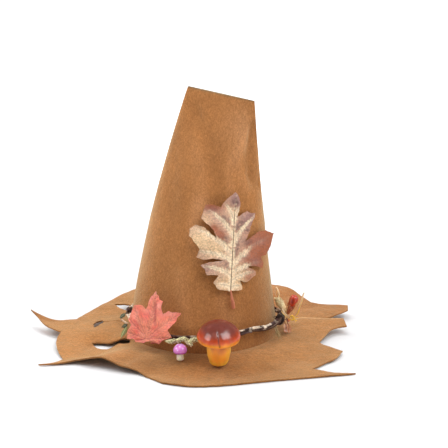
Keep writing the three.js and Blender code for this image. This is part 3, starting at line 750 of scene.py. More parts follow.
OAK_OUTLINE = [
    (0, 0), (15, 2), (16, 6), (12, 13), (22, 11), (29, 16), (35, 20), (35, 25), (28, 28), (22, 30.5),
    (33, 31.5), (45, 29), (47, 35), (42, 43), (51, 46), (58, 57), (60, 66), (63, 73), (55, 74),
    (49, 76), (37, 74), (24, 65), (18, 61), (24, 74), (25, 80), (30, 90), (32, 97), (26, 96), (19, 98),
    (13, 95), (6, 90), (9, 103), (9, 108), (6, 115), (2, 121), (-4, 116), (-9, 112), (-14, 106),
    (-16, 101), (-25, 104), (-35, 104), (-36, 98), (-39, 87), (-30, 79), (-24, 73), (-20, 63),
    (-28, 70), (-36, 77), (-46, 79), (-52, 74), (-53, 66), (-44, 55), (-40, 50), (-43, 40), (-35, 37),
    (-24, 39), (-10, 37), (-29, 34), (-38, 30), (-33, 26), (-31, 19), (-16, 19), (-22, 10), (-17, 2),
]
OAK_SIDE = [
    ((0, 69), (-30, 97)), ((0, 56), (31, 93)), ((0, 46), (-47, 75)), ((0, 31), (56, 69)),
    ((0, 38), (-42, 47)), ((0, 22), (43, 36)), ((0, 20), (-35, 29)), ((0, 13), (31, 24)),
    ((1, 88), (-11, 106)), ((1, 86), (10, 104)), ((0, 6), (-18, 8)), ((0, 5), (13, 7)),
]
MAPLE_OUTLINE = [
    (-1, -2), (5, -4), (10, -6), (13, -2), (20, 1), (27, 3), (24, 8), (22, 12), (28, 18), (32, 22),
    (33, 26), (38, 32), (32, 33), (26, 33), (23, 35), (19, 32), (16, 31), (15, 37), (15, 41), (17, 47),
    (13, 48), (12, 52), (9, 55), (8, 59), (4, 54), (0, 50), (-2, 46), (-3, 41), (-6, 36), (-10, 41),
    (-15, 42), (-23, 41), (-26, 36), (-31, 26), (-33, 23), (-28, 17), (-30, 13), (-35, 9), (-34, 4),
    (-35, -1), (-25, 0), (-22, -4), (-10, -4),
]


def vein_distance(points, start, end, sag=0.0, samples=24):
    """Distance from each point to a slightly curved vein, and how far along it the nearest is."""
    start, end = np.array(start, float), np.array(end, float)
    t = np.linspace(0, 1, samples)
    side = np.array([-(end - start)[1], (end - start)[0]])
    line = start + t[:, None] * (end - start) + (4 * t * (1 - t))[:, None] * side * sag
    gaps = np.linalg.norm(points[:, None] - line[None], axis=-1)
    nearest = gaps.argmin(1)
    return gaps[np.arange(len(points)), nearest], t[nearest]


def side_veins(start, end, gap, length, angle):
    """Small veins that leave a vein on both sides."""
    start, end = np.array(start, float), np.array(end, float)
    way = end - start
    size = np.linalg.norm(way)
    way = way / size
    out = []
    for k, along in enumerate(np.arange(gap, size - gap * 0.5, gap)):
        for hand in (-1, 1):
            turn = hand * math.radians(angle)
            d = np.array([way[0] * math.cos(turn) - way[1] * math.sin(turn),
                          way[0] * math.sin(turn) + way[1] * math.cos(turn)])
            root = start + way * (along + (hand * 0.25 * gap if k % 2 else 0))
            out.append((root, root + d * length * (1 - 0.55 * along / size)))
    return out


def leaf(name, node, slot, outline, place_at, bend_radius, thickness, relief, paint, finish, body,
         seed, spacing=1.1):
    """A leaf blade with raised veins. relief(points) is the height added to both sides."""
    loop = even_spacing(np.array(outline, float), spacing)
    loop = loop + 0.45 * push_about(loop, 4.0, seed, seed + 31)
    corners, faces, rims = flat_sheet([loop], spacing)
    height = relief(corners) - corners[:, 0] ** 2 / (2 * bend_radius)
    over, under = (in_frame(np.column_stack([corners, height + side]), place_at)
                   for side in (thickness / 2, -thickness / 2))
    vertices, made_faces = thick(over, under, faces, rims, 0.12)
    tint = paint(corners)
    # Painted shade: the back is the face's colour darkened to 0.8, and the rim darkened to 0.75.
    full = np.concatenate([tint, tint * 0.8, tint[np.concatenate(rims)] * 0.75])
    made = piece(name, vertices, made_faces, full, finish, body, node, slot)
    return made, sheet_area(over, faces)


OAK_MIDRIB = [((0, 0), (2.5, 116))]
OAK_SMALL = sum((side_veins(a, b, 6.5, 13, 48) for a, b in OAK_SIDE[:8]), [])
# Colours on the oak leaf, as patches.
OAK_PALE = [(1, -38, 62, 24, 17), (1, 0, 8, 26, 15), (0.9, -24, 50, 18, 10), (0.5, 14, 22, 12, 12),
            (0.5, -2, 98, 9, 9), (0.4, -34, 88, 8, 10)]
OAK_RUST = [(2.2, 51, 62, 19, 19), (2.0, 40, 40, 13, 13), (1, 31, 68, 7, 5), (1.2, -26, 102, 14, 6),
            (1, 28, 60, 7, 10), (1.5, -16, 67, 7, 7), (1.1, -24, 76, 6, 5), (0.7, 24, 17, 9, 6),
            (0.6, 22, 38, 8, 5)]
OAK_MAUVE = [(1.3, 27, 91, 12, 8), (0.6, 16, 84, 6, 6), (0.8, -33, 27, 13, 7), (1.2, 3, 112, 10, 10),
             (0.4, 40, 62, 14, 5), (0.6, 34, 37, 8, 5), (0.5, -38, 46, 9, 5), (0.6, -26, 98, 8, 4)]
OAK_DARK = [(1, -6, 83, 3, 6), (1, -9, 62, 5, 5), (1, -12, 88, 5, 4), (1, 6, 63, 4, 9),
            (1, 5, 49, 4, 8), (1, 8, 78, 5, 5), (1, 13, 82, 6, 5), (1, -5, 31, 4, 5),
            (1, 2, 108, 5, 5), (1, 21, 60, 7, 4),
            (0.8, 18, 76, 7, 4), (0.7, 15, 43, 5, 4), (0.5, -14, 35, 7, 2), (0.6, 10, 92, 4, 4),
            (0.6, 28, 82, 7, 4), (0.5, 17, 28, 5, 4)]


def nearest_of(points, veins, sag=0.06):
    """Distance to the nearest of several veins, and how far along that vein it is."""
    best = np.full(len(points), 1e9)
    part = np.zeros(len(points))
    for k, (a, b) in enumerate(veins):
        gap, t = vein_distance(points, a, b, sag if k % 2 else -sag)
        closer = gap < best
        best[closer], part[closer] = gap[closer], t[closer]
    return best, part


def oak_relief(p):
    """Raised veins with a valley along each, wavy lobes and a tip that curls forward."""
    flat = flat_points(p)
    main, _ = nearest_of(p, OAK_MIDRIB, 0.0)
    side, _ = nearest_of(p, OAK_SIDE)
    small, _ = nearest_of(p, OAK_SMALL, 0.03)
    valley = 0.9 * bell(side, 4.0)
    ridge = 0.25 * bell(main, 1.4) + 0.35 * bell(side, 0.7) + 0.16 * bell(small, 0.5)
    lobes = 1.4 * wobble(flat, 26, 3.0) * smooth(6, 30, np.abs(p[:, 0]))
    tip = 2.2 * smooth(95, 118, p[:, 1])
    return ridge - valley * 0.6 + lobes + tip + 0.25 * wobble(flat, 7, 8.0)


def oak_paint(p):
    x, y = p.T
    flat = flat_points(p)
    main, _ = nearest_of(p, OAK_MIDRIB, 0.0)
    side, along = nearest_of(p, OAK_SIDE)
    small, _ = nearest_of(p, OAK_SMALL, 0.03)
    cream, tan, plum = srgb(250, 224, 184), srgb(234, 196, 148), srgb(96, 58, 52)
    patch, fleck = wobble(flat, 9, 6.0), wobble(flat, 3.2, 21.0)
    tint = mix(srgb(198, 148, 118), tan, np.clip(patches(x, y, OAK_PALE), 0, 1))
    tint = mix(tint, srgb(162, 82, 36), np.clip(patches(x, y, OAK_RUST), 0, 1))
    tint = mix(tint, srgb(150, 106, 98), 0.85 * np.clip(patches(x, y, OAK_MAUVE), 0, 1))
    # Dark patches lie between the veins, close to the midrib.
    tint = mix(tint, plum, 0.75 * np.clip(1.3 * patches(x, y, OAK_DARK) * (0.7 + 0.6 * fleck), 0, 1))
    # Paler along the midrib and the side veins, in ragged streaks, but not on the rusty lobe.
    width = (3.6 * (1 - 0.7 * along) + 0.5) * (1 + 0.45 * fleck)
    rusty = 0.88 * smooth(20, 30, x) * smooth(84, 78, y) * smooth(26, 30, y)
    streak = (1 - rusty) * (1 - 0.7 * smooth(0.72, 1.0, along)) * (1 - 0.6 * smooth(100, 112, y))
    beside = np.exp(-(side / width) ** 4) * streak * (0.9 + 0.3 * patch)
    tint = mix(tint, cream, np.clip(beside, 0, 1))
    width = (3.6 - 0.02 * y) * (1 + 0.4 * fleck)
    tint = mix(tint, cream, np.exp(-(main / width) ** 4) * (1 - 0.8 * smooth(96, 112, y)))
    net = bell(wobble(flat, 2.6, 31.0), 0.10) * smooth(2, 6, main)
    tint = mix(tint, srgb(150, 108, 84), 0.4 * net)
    tint = mix(tint, plum, 0.32 * bell(small, 0.45))
    tint = mix(tint, plum, 0.45 * bell(side, 0.5))
    return tint * (1 + 0.10 * wobble(flat, 2.2, 1.0))[:, None]


MAPLE_ROOT = (-6, 1)
MAPLE_SIDE = [
    (MAPLE_ROOT, (8, 57)), (MAPLE_ROOT, (36, 31)), (MAPLE_ROOT, (26, 3)), (MAPLE_ROOT, (-23, 40)),
    (MAPLE_ROOT, (-33, 25)), (MAPLE_ROOT, (-34, 8)), (MAPLE_ROOT, (10, -5)), (MAPLE_ROOT, (-20, -2)),
]
MAPLE_SMALL = sum((side_veins(a, b, 5.5, 13, 36) for a, b in MAPLE_SIDE[:6]), [])
MAPLE_FOLD = ((5, 20), (7.5, 43))


def maple_relief(p):
    """Sunk veins with the leaf puffed up between them, and one fold."""
    flat = flat_points(p)
    side, _ = nearest_of(p, MAPLE_SIDE, 0.02)
    small, _ = nearest_of(p, MAPLE_SMALL, 0.02)
    groove = 0.55 * bell(side, 0.8) + 0.3 * bell(small, 0.6)
    fold, _ = vein_distance(p, *MAPLE_FOLD)
    return (-groove + 1.0 * (1 - bell(side, 6.0)) - 1.2 * bell(fold, 2.4)
            + 1.2 * wobble(flat, 18, 4.0) + 0.35 * wobble(flat, 5, 9.0))


def maple_paint(p):
    flat = flat_points(p)
    side, _ = nearest_of(p, MAPLE_SIDE, 0.02)
    small, _ = nearest_of(p, MAPLE_SMALL, 0.02)
    fold, _ = vein_distance(p, *MAPLE_FOLD)
    coral, red, pink = srgb(252, 146, 114), srgb(246, 100, 90), srgb(255, 164, 148)
    tint = mix(coral, red, np.clip(0.35 + 0.7 * wobble(flat, 13, 2.0), 0, 1) * 0.75)
    out = np.hypot(p[:, 0] + 2, p[:, 1] - 4)
    tint = mix(tint, pink, 0.6 * smooth(16, 40, out) * smooth(-0.4, 0.6, wobble(flat, 9, 12.0)))
    rosy = smooth(10, -6, p[:, 1]) * smooth(0, 0.6, wobble(flat, 8, 33.0))
    tint = mix(tint, srgb(222, 92, 120), 0.45 * rosy)
    tint = mix(tint, srgb(236, 160, 122), 0.5 * bell(side - 1.6, 0.7))
    tint = mix(tint, srgb(150, 58, 60), 0.62 * bell(side, 0.6))
    tint = mix(tint, srgb(176, 74, 70), 0.36 * bell(small, 0.5))
    # Painted shade: darker red along the fold.
    tint = mix(tint, srgb(176, 62, 60), 0.6 * bell(fold, 1.9))
    return tint * (1 + 0.11 * wobble(flat, 2.4, 5.0))[:, None]


def leaflet(name, node, foot, up, facing, length, width, colours, seed):
    """A small pointed leaf, cupped along its length, with a midrib and slanting veins."""
    t = np.linspace(0, 1, 15)
    half = width / 2 * np.sin(math.pi * t ** 0.85) ** 0.8
    outline = [(float(h), float(length * k)) for h, k in zip(half, t)][:-1]
    outline += [(-float(h), float(length * k)) for h, k in zip(half[::-1], t[::-1])][:-1]

    def relief(p):
        rib = bell(p[:, 0], 0.45)
        off = np.abs(p[:, 0])
        veins = np.cos((p[:, 1] - 1.2 * off) * 2 * math.pi / 2.6) * smooth(0.3, 1.2, off)
        return 0.25 * rib + 0.12 * veins - 1.2 * (p[:, 1] / length) ** 2

    def paint(p):
        flat = flat_points(p)
        edge = smooth(0.5, 1.0, np.abs(p[:, 0]) / (width / 2))
        tint = mix(colours[0], colours[1], np.clip(0.6 * edge + 0.3 * wobble(flat, 4, seed), 0, 1))
        return mix(tint, colours[2], 0.7 * bell(p[:, 0], 0.4))

    leaf(name, node, "leaf_green", outline, frame_at(foot, up, facing), 12.0, 0.7, relief, paint,
         GREENERY, "wreath", seed, spacing=0.7)


# ---- Crown, brim and leaves put together ----------------------------------------------------

brim_piece()
crown_panel("crown_felt_front", "crown_front_panel", math.pi, -SEAM_SHIFT, FRONT_CREASES, 1.0)
crown_panel("crown_felt_back", "crown_back_panel", 0.0, SEAM_SHIFT, BACK_CREASES, 21.0)

OAK_BEND_RADIUS, MAPLE_BEND_RADIUS = 140, 120  # across each leaf
oak_frame = frame_at((34.5, -74.5, 86.2), (4, 32, 117), (0.375, -0.927, 0))
oak, oak_area = leaf(
    "oak_blade_painted", "oak_leaf", "oak_blade", OAK_OUTLINE, oak_frame, OAK_BEND_RADIUS, 0.9,
    oak_relief, oak_paint, OAK_LEAF, "hat", 3.0, spacing=0.8,
)

maple_frame = frame_at((-62, -92.5, 30.5), (-1, 13, 57), (-0.375, -0.927, 0))
maple, maple_area = leaf(
    "maple_blade_painted", "maple_leaf", "maple_blade", MAPLE_OUTLINE, maple_frame,
    MAPLE_BEND_RADIUS, 0.8, maple_relief, maple_paint, MAPLE_LEAF, "wreath", 13.0, spacing=0.9,
)


def oak_midrib():
    foot, tip = np.array(OAK_MIDRIB[0])
    path = foot + np.linspace(0.01, 0.98, 24)[:, None] * (tip - foot)
    high = oak_relief(path) - path[:, 0] ** 2 / (2 * OAK_BEND_RADIUS) + 0.55
    simple_tube("oak_midrib_raised", in_frame(np.column_stack([path, high]), oak_frame),
                [0.5, 0.45, 0.4, 0.3], srgb(124, 90, 64), OAK_LEAF, "hat", (), "oak_blade",
                steps=2, sides=8)


oak_midrib()
OAK_STEM = [(0.3, 1.5, 0.2), (0.6, -1.5, 0.2), (1.5, -7, 0.6), (3.5, -14, 0.2), (5, -20.6, -1)]
simple_tube("oak_stem_curved", in_frame(OAK_STEM, oak_frame), [1.0, 1.1, 1.25, 1.75, 2.2, 2.1],
            srgb(200, 118, 84), STRAW, "hat", "oak_leaf_stem", "oak_stem", varied=0.12)
simple_tube("maple_stem_curved",
            [(-61.9, -93.6, 26.4), (-60.6, -91, 25), (-57.4, -86, 24.4), (-55.2, -82, 24.6)],
            0.85, srgb(196, 100, 86), STRAW, "wreath", "maple_leaf_stem", "maple_blade", varied=0.1)


# ---- Wreath ---------------------------------------------------------------------------------

def ring_point(angle, out=0.0, up=0.0):
    """A point of the wreath's core, moved out and up. The ring is lowest at the back."""
    angle = np.asarray(angle, float)
    left = np.maximum(0, -np.cos(angle)) ** 3
    radius = RING_RADIUS + out - RING_LEFT_TUCK * left
    tilt = RING_TILT_SIDE * np.cos(angle) - RING_TILT_FRONT * np.sin(angle)
    from_hitch = 2 * (1 - np.cos(angle - RING_HITCH_TURN))
    hitch = RING_HITCH_RISE * np.exp(-from_hitch / RING_HITCH_REACH ** 2)
    height = SEAM_HEIGHT + RING_RISE + tilt + RING_LEFT_RISE * left + hitch + up
    return np.stack([radius * np.cos(angle), radius * np.sin(angle), height + 0 * angle], -1)


def almond(shell, base, tip, normal, width, thick_mm, root_tint, tip_tint, cup=0.0):
    """A flat pointed scale or petal from base to tip, its face along normal, added to a shell."""
    base, tip = np.asarray(base, float), np.asarray(tip, float)
    along = unit(tip - base)
    face = unit(np.asarray(normal, float) - along * np.dot(normal, along))
    across = np.cross(along, face)
    size = np.linalg.norm(tip - base)
    steps, sides = 9, 8
    t = np.linspace(0, 1, steps)
    angles = np.linspace(0, 2 * math.pi, sides, endpoint=False)
    half = np.maximum(0.06, np.sin(math.pi * t ** 0.8) ** 0.8)
    wide = np.cos(angles) * width / 2
    high = np.sin(angles) * thick_mm / 2 - np.cos(angles) ** 2 * width * 0.12
    points = []
    for k, h in zip(t, half):
        centre = base + along * size * k + face * cup * size * (k - k * k)
        points.append(centre + (wide * h)[:, None] * across + (high * h)[:, None] * face)
    points = np.concatenate(points)
    shell.put(points, ring_faces(steps, sides), mix(root_tint, tip_tint, np.repeat(t, sides)))


def basis(axis):
    """Two directions at right angles to the axis and to each other."""
    axis = unit(axis)
    side = np.cross(axis, [0, 0, 1.0])
    if np.linalg.norm(side) < 0.3:
        side = np.cross(axis, [0, 1.0, 0])
    side = unit(side)
    return axis, side, np.cross(axis, side)


def scaly(shell, middle, toward, length, width, rows, around, colours, chance, spread=0.5):
    """A bud or seed head of overlapping scales round its axis."""
    axis, side, other = basis(toward)
    foot = np.asarray(middle, float) - axis * length / 2
    core = tube([foot + axis * length * k for k in np.linspace(0.0, 0.9, 7)],
                width / 2 * np.array([0.35, 0.6, 0.72, 0.7, 0.58, 0.38, 0.15]), 8)
    # Painted shade: the core under the scales is the root colour darkened to 0.7.
    shell.put(*core, np.asarray(colours[0]) * 0.7)
    for row in range(rows):
        k = row / rows
        reach = width / 2 * math.sin(math.pi * min(0.92, 0.16 + 0.72 * k))
        for n in range(around):
            angle = 2 * math.pi * (n + 0.5 * (row % 2)) / around + chance.uniform(-0.25, 0.25)
            out = math.cos(angle) * side + math.sin(angle) * other
            base = foot + axis * length * (k * 0.82) + out * reach * 0.55
            tip = base + axis * length * (0.34 + chance.uniform(-0.04, 0.05)) + out * reach * spread
            shade = chance.uniform(0.82, 1.15)
            almond(shell, base, tip, out, width * 0.5, 0.55, np.asarray(colours[0]) * shade,
                   np.asarray(colours[1]) * shade, 0.3)


VINES, CUTS, CUT_SPAN = 3, 3, math.radians(112)  # three vines, each cut into three lengths
VINE_TURNS, VINE_ORBIT, VINE_RADIUS = 5, 2.1, 1.62  # they wind round one another
VINE_COLOURS = (srgb(70, 44, 38), srgb(94, 66, 52), srgb(82, 50, 46))
# Pale bark: the middle and half width of each patch in degrees round the wreath, how pale it is,
# and how high on the bundle it starts (1 is the very top).
BIRCH_PATCHES = [
    (-61.5, 1.8, 0.9, 0.45), (-48.6, 4.0, 1.0, 0.5), (-36.6, 3.9, 0.95, 0.5),
    (-41, 1.3, 0.9, -0.8), (-54.5, 1.0, 0.5, -0.5), (-24, 1.4, 0.4, 0.4), (-96, 2.0, 0.5, 0.2),
    (-160, 8.0, 1.0, -0.4), (168, 6.0, 0.9, -0.2), (120, 5.0, 0.8, 0.2), (75, 4.0, 0.9, 0.2),
    (40, 5.0, 0.8, 0.2), (12, 3.0, 0.5, 0.2),
]


def vine_piece(vine, cut):
    """One length of a vine, ridged like bark, winding round the wreath's core."""
    name = f"vine_{'abc'[vine]}{cut + 1}"
    first = 2 * math.pi * (cut / CUTS + vine / (VINES * CUTS)) + VINE_START
    angle = first + CUT_SPAN * np.linspace(0, 1, 150)
    winding = VINE_TURNS * angle + 2 * math.pi * vine / VINES
    orbit = VINE_ORBIT + 0.06 * np.sin(3.1 * winding + vine)
    route = ring_point(angle, orbit * np.cos(winding), orbit * np.sin(winding))
    knots = wobble(route, 9.0, 3.0 * vine + cut)
    knobs = 0.35 * np.maximum(0, wobble(route, 5.0, 50.0 + vine)) ** 2
    sides = 16
    vertices, faces = tube(route, VINE_RADIUS * (1 + 0.12 * knots) + knobs, sides)
    rings = len(vertices) // sides
    around = np.tile(np.linspace(0, 2 * math.pi, sides, endpoint=False), rings)
    station = np.clip(np.repeat(np.arange(rings) - 1, sides), 0, len(route) - 1)
    strands = np.sin(3 * around + 0.05 * station)
    ridge = 0.14 * strands + 0.05 * np.sin(7 * around + 0.11 * station)
    vertices = vertices + (vertices - route[station]) * ridge[:, None]

    # Painted shade: the grooves between the strands are darkened.
    groove = 0.5 - 0.5 * strands
    tint = mix(VINE_COLOURS[vine], srgb(34, 20, 18), 0.7 * groove)
    lichen = np.clip(0.55 * wobble(vertices, 3.0, 9.0 + vine), 0, 1) * (1 - groove)
    tint = mix(tint, srgb(150, 124, 100), lichen)
    where = angle[station]
    degrees = (np.degrees(where) + 180) % 360 - 180
    upness = unit(vertices - ring_point(where))[:, 2]
    birch = 0
    for at, half, strong, lowest in BIRCH_PATCHES:
        near = smooth(half + 0.6, half - 0.4, np.abs(degrees - at))
        birch = birch + near * strong * smooth(lowest, lowest + 0.3, upness)
    birch = np.clip(birch * (0.9 + 0.5 * wobble(vertices, 4.0, 77.0)), 0, 1)
    tint = mix(tint, srgb(232, 212, 188), birch)
    piece(f"{name}_bark", vertices, faces, tint, BARK, "wreath", name, "vine", sharp=60)


for vine_number in range(VINES):
    for cut_number in range(CUTS):
        vine_piece(vine_number, cut_number)


def coil_round_vines():
    """The dark wire wound round the vines at the right, with a few loose ends."""
    chance = random.Random(4)
    shell = Shell()
    middle = BINDING_ANGLE
    core = ring_point(middle)
    out = np.array([math.cos(middle), math.sin(middle), 0])
    along = np.array([-math.sin(middle), math.cos(middle), 0])
    up = np.array([0, 0, 1.0])

    def winding(turns, wide, tall, start, pitch, radius, tint, lift=0.0):
        t = np.linspace(0, turns, int(turns * 26))
        angle = 2 * math.pi * t + start
        w = wide * (1 + 0.07 * np.sin(2.3 * angle))
        h = tall * (1 + 0.09 * np.sin(1.7 * angle + 1))
        route = (core + (np.cos(angle) * w)[:, None] * out + (np.sin(angle) * h + lift)[:, None] * up
                 + (pitch * (t - turns / 2))[:, None] * along)
        shell.put(*tube(route, radius, 8), tint)

    hidden = [ring_point(middle + turn) for turn in (-0.055, 0, 0.055)]
    shell.put(*tube(hidden, [3.9, 4.3, 3.9], 14), srgb(58, 44, 38))
    winding(6.3, 4.7, 5.4, 0.4, 1.7, 0.8, srgb(66, 50, 44))
    winding(3.2, 5.0, 6.6, 2.0, 2.0, 0.7, srgb(104, 88, 76), -0.6)
    # Painted highlight: this thin pale winding stands in for glints on the dark wire.
    winding(2.4, 4.2, 7.2, 1.1, 2.4, 0.5, srgb(176, 164, 150), -1.0)
    def outward(angle):
        return math.cos(angle) * out + math.sin(angle) * up

    for _ in range(5):
        angle = chance.uniform(-0.5, 3.4)
        start = core + 5 * outward(angle) + along * chance.uniform(-5, 3)
        bend = start + 3.0 * outward(angle + 0.6)
        end = bend + 2.2 * outward(angle + 1.7)
        shell.put(*tube(catmull([start, bend, end], 6), 0.35, 6), srgb(60, 48, 42))
    shell.finish("wreath_binding_coil", DARK_WIRE, "wreath", "wreath_binding", "binding")


coil_round_vines()


# ---- Mushrooms ------------------------------------------------------------------------------

BIG_PLACE, BIG_TILT = np.array([20.2, -123.0, 39.0]), math.radians(5)


def tipped(points):
    """Points of the big mushroom, tipped towards the front and put in their place."""
    x, y, z = np.asarray(points, float).T
    c, s = math.cos(BIG_TILT), math.sin(BIG_TILT)
    return np.stack([x, y * c - z * s, y * s + z * c], -1) + BIG_PLACE


def big_cap():
    profile = [(0, 1.2), (12, 0.9), (14.6, 0.4), (20, 0.2), (23.2, 1.2), (24.7, 3.6), (25.3, 7.0),
               (24.2, 11.0), (21.4, 15.2), (18.0, 18.6), (13.6, 21.6), (8.2, 24.2), (3.6, 25.6),
               (0, 25.9)]
    vertices, faces = turned(profile, 120, 7)
    x, y, z = vertices.T
    angle = np.degrees(np.arctan2(y, x))
    # A split in the glaze runs down the front, its right side standing a little proud.
    line = -89 - 5 * (z - 8) / 12
    off = (angle - line + 180) % 360 - 180
    span = smooth(1.5, 3.0, z) * smooth(21.5, 17.5, z)
    groove = -0.9 * bell(off, 2.2) * span
    step = 0.55 * smooth(0, 4, off) * smooth(34, 6, off) * span
    dents = 0.35 * wobble(vertices, 16, 2.0) + 0.12 * wobble(vertices, 5, 8.0)
    push = np.where(z > 1.4, groove + step + dents, 0)
    out = unit(np.stack([x, y, 0.7 * np.maximum(z - 6, 0)], -1))
    vertices = vertices + out * push[:, None]
    height = z / 24.5
    streak = wobble(np.column_stack([30 * unit(np.stack([x, y], -1)), z * 0.35]), 4.5, 3.0)
    top, middle, rim = srgb(112, 44, 30), srgb(200, 72, 18), srgb(255, 168, 60)
    level = height + 0.05 * streak
    tint = mix(rim, middle, smooth(0.08, 0.36, level))
    tint = mix(tint, top, smooth(0.3, 0.74, level))
    tint = mix(tint, srgb(236, 150, 74), smooth(0.08, 0.04, height))
    tint = mix(tint, srgb(74, 30, 24), np.clip(bell(off, 1.6) * span, 0, 1) * 0.8)
    # Painted reflection: pale mauve patches over the upper cap.
    tint = mix(tint, srgb(176, 100, 84), 0.25 * smooth(0.2, 0.9, wobble(vertices, 7, 30.0)) * (z > 5))
    piece("mushroom_cap_glazed", tipped(vertices * (1.025, 1.01, 1.05)), faces, tint, CAP_WAX,
          "wreath", "mushroom_cap", "cap_brown")


def big_stalk():
    profile = [(0, -28.4), (8.4, -28.4), (10.4, -27.3), (11.6, -25), (13.2, -19), (14.4, -12),
               (14.3, -7), (13.7, -2.4), (13.1, -0.2), (11.6, 0.25), (0, 0.3)]
    vertices, faces = turned(profile, 72, 6)
    x, y, z = vertices.T
    angle = np.arctan2(y, x)
    flute = 0.35 * np.sin(5 * angle + 0.6) * smooth(-28, -16, z) + 0.25 * wobble(vertices, 7, 4.0)
    vertices = vertices + unit(np.stack([x, y, 0 * z], -1)) * (flute * (np.hypot(x, y) > 3))[:, None]
    amber, deep, pale = srgb(255, 160, 46), srgb(200, 100, 22), srgb(255, 190, 66)
    # Painted shade darkens the stalk towards the top, under the cap; a painted glow makes it paler at
    # the foot and on both sides.
    tint = mix(amber, deep, np.clip(smooth(-14, -2, z) * (0.6 + 0.4 * wobble(vertices, 6, 9.0)), 0, 1))
    glow = (0.6 * smooth(-19, -27, z) + 0.3 * smooth(0.2, 0.8, wobble(vertices, 8, 19.0))
            + 0.6 * smooth(5, 11, np.abs(x)))
    tint = mix(tint, pale, np.clip(glow, 0, 1))
    piece("mushroom_stalk_amber", tipped(vertices), faces, tint, STALK_WAX, "wreath",
          "mushroom_stalk", "stalk_orange")


big_cap()
big_stalk()


# The pale dots on the small cap: degrees round it, and how high as a part of a quarter turn.
DOTS = [(-95, 0.62), (-60, 0.35), (-130, 0.38), (-20, 0.55), (-165, 0.6), (-75, 0.85), (30, 0.4),
        (70, 0.65), (120, 0.4), (165, 0.75), (-110, 0.2), (-38, 0.78), (0, 0.25)]


def small_mushroom():
    where = np.array([*SMALL_CAP_PLACE, 20.7])
    profile = [(0, 1.0), (4.6, 0.6), (6.6, 0.2), (7.9, 1.4), (8.2, 4.2), (7.1, 7.4), (4.4, 10),
               (1.8, 10.9), (0, 11)]
    vertices, faces = turned(profile, 60, 6)
    tint = mix(srgb(216, 128, 206), srgb(158, 70, 146), smooth(3.5, 0.5, vertices[:, 2]))
    chance = random.Random(11)
    for turn, rise in DOTS:
        turn, lift = math.radians(turn), rise * math.pi / 2
        out = 8.0 * math.cos(lift)
        spot = np.array([out * math.cos(turn), out * math.sin(turn), 3.6 + 7.3 * math.sin(lift)])
        gap = np.linalg.norm(vertices - spot, axis=-1)
        size = chance.uniform(0.8, 1.25)
        dot = np.exp(-(gap / size) ** 4)
        vertices = vertices + unit(vertices - np.array([0, 0, 3.0])) * (0.35 * dot)[:, None]
        tint = mix(tint, srgb(240, 210, 240), 0.85 * dot)
    tint = mix(tint, srgb(228, 180, 216), smooth(0.8, 0.2, vertices[:, 2]) * 0.5)
    piece("small_mushroom_cap_dotted", vertices + where, faces, tint, CAP_WAX, "wreath",
          "small_mushroom_cap", "cap_purple")
    profile = [(0, -9), (2.6, -9), (3.9, -8.3), (4.4, -6.8), (4.1, -3.2), (3.5, -0.3), (0, -0.2)]
    vertices, faces = turned(profile, 40, 6)
    mottled = 0.5 * np.clip(0.5 + wobble(vertices, 3, 2.0), 0, 1)
    tint = mix(srgb(252, 242, 224), srgb(226, 200, 182), mottled)
    piece("small_mushroom_stalk_cream", vertices + where, faces, tint, STALK_WAX, "wreath",
          "small_mushroom_stalk", "stalk_white")


small_mushroom()
simple_tube("mushroom_wire_bent", [(20.2, -107.4, 32.6), (20.2, -105, 33.4), (20.2, -102.6, 34)], 0.7,
            srgb(104, 102, 92), DARK_WIRE, "wreath", "mushroom_wire", "wire")
simple_tube("small_mushroom_wire_bent",
            [(-26, -112.8, 31.9), (-26, -109, 32.3), (-25.8, -105, 31.5), (-25.4, -101.6, 32)], 0.55,
            srgb(104, 102, 92), DARK_WIRE, "wreath", "small_mushroom_wire", "wire")


# ---- Small greenery -------------------------------------------------------------------------

def bud_spray():
    chance = random.Random(21)
    shell = Shell()
    green, cream, olive = srgb(196, 186, 116), srgb(255, 248, 206), srgb(128, 116, 68)
    stem = catmull([(-43, -101, 32), (-33, -104, 33), (-22, -106.5, 34.5), (-8, -107.5, 34.5)], 10)
    shell.put(*tube(stem, 0.8, 8), srgb(120, 112, 66))
    buds = [((-38, -103.6, 32), (1, -0.3, 0.1), 5.2, 13),
            ((-31, -105.6, 33.6), (-1, -0.4, 0.5), 4.0, 9),
            ((-25, -106.6, 35.8), (1, -0.2, 0.3), 4.8, 13),
            ((-16, -108.4, 31.8), (1, -0.1, -0.6), 5.4, 12),
            ((-10.5, -108.2, 35.4), (1, 0, 0.3), 5.2, 13),
            ((-18, -108, 35.6), (-0.8, -0.3, 0.6), 4.0, 9),
            ((-2.5, -107.6, 34.6), (1, -0.1, 0.1), 4.2, 10)]
    for middle, toward, width, length in buds:
        shade = chance.uniform(0.85, 1.1)
        scaly(shell, middle, toward, length, width, 4, 5, (green * shade, cream), chance, 0.75)
    for _ in range(16):
        root = stem[chance.randrange(4, len(stem) - 2)]
        toward = [chance.uniform(-0.3, 1), chance.uniform(-1, -0.4), chance.uniform(-0.7, 0.7)]
        tip = root + unit(toward) * chance.uniform(3.0, 5.5)
        end_tint = green if chance.random() < 0.5 else cream
        almond(shell, root, tip, (0, -1, 0.4), 1.7, 0.4, olive, end_tint, 0.3)
    shell.finish("bud_sprig_scaly", GREENERY, "wreath", "bud_sprig", "bud_green")


bud_spray()


LEAF_COLOURS = (srgb(116, 116, 60), srgb(178, 172, 104), srgb(214, 208, 150))
DARK_COLOURS = (srgb(62, 68, 38), srgb(100, 104, 58), srgb(140, 142, 92))


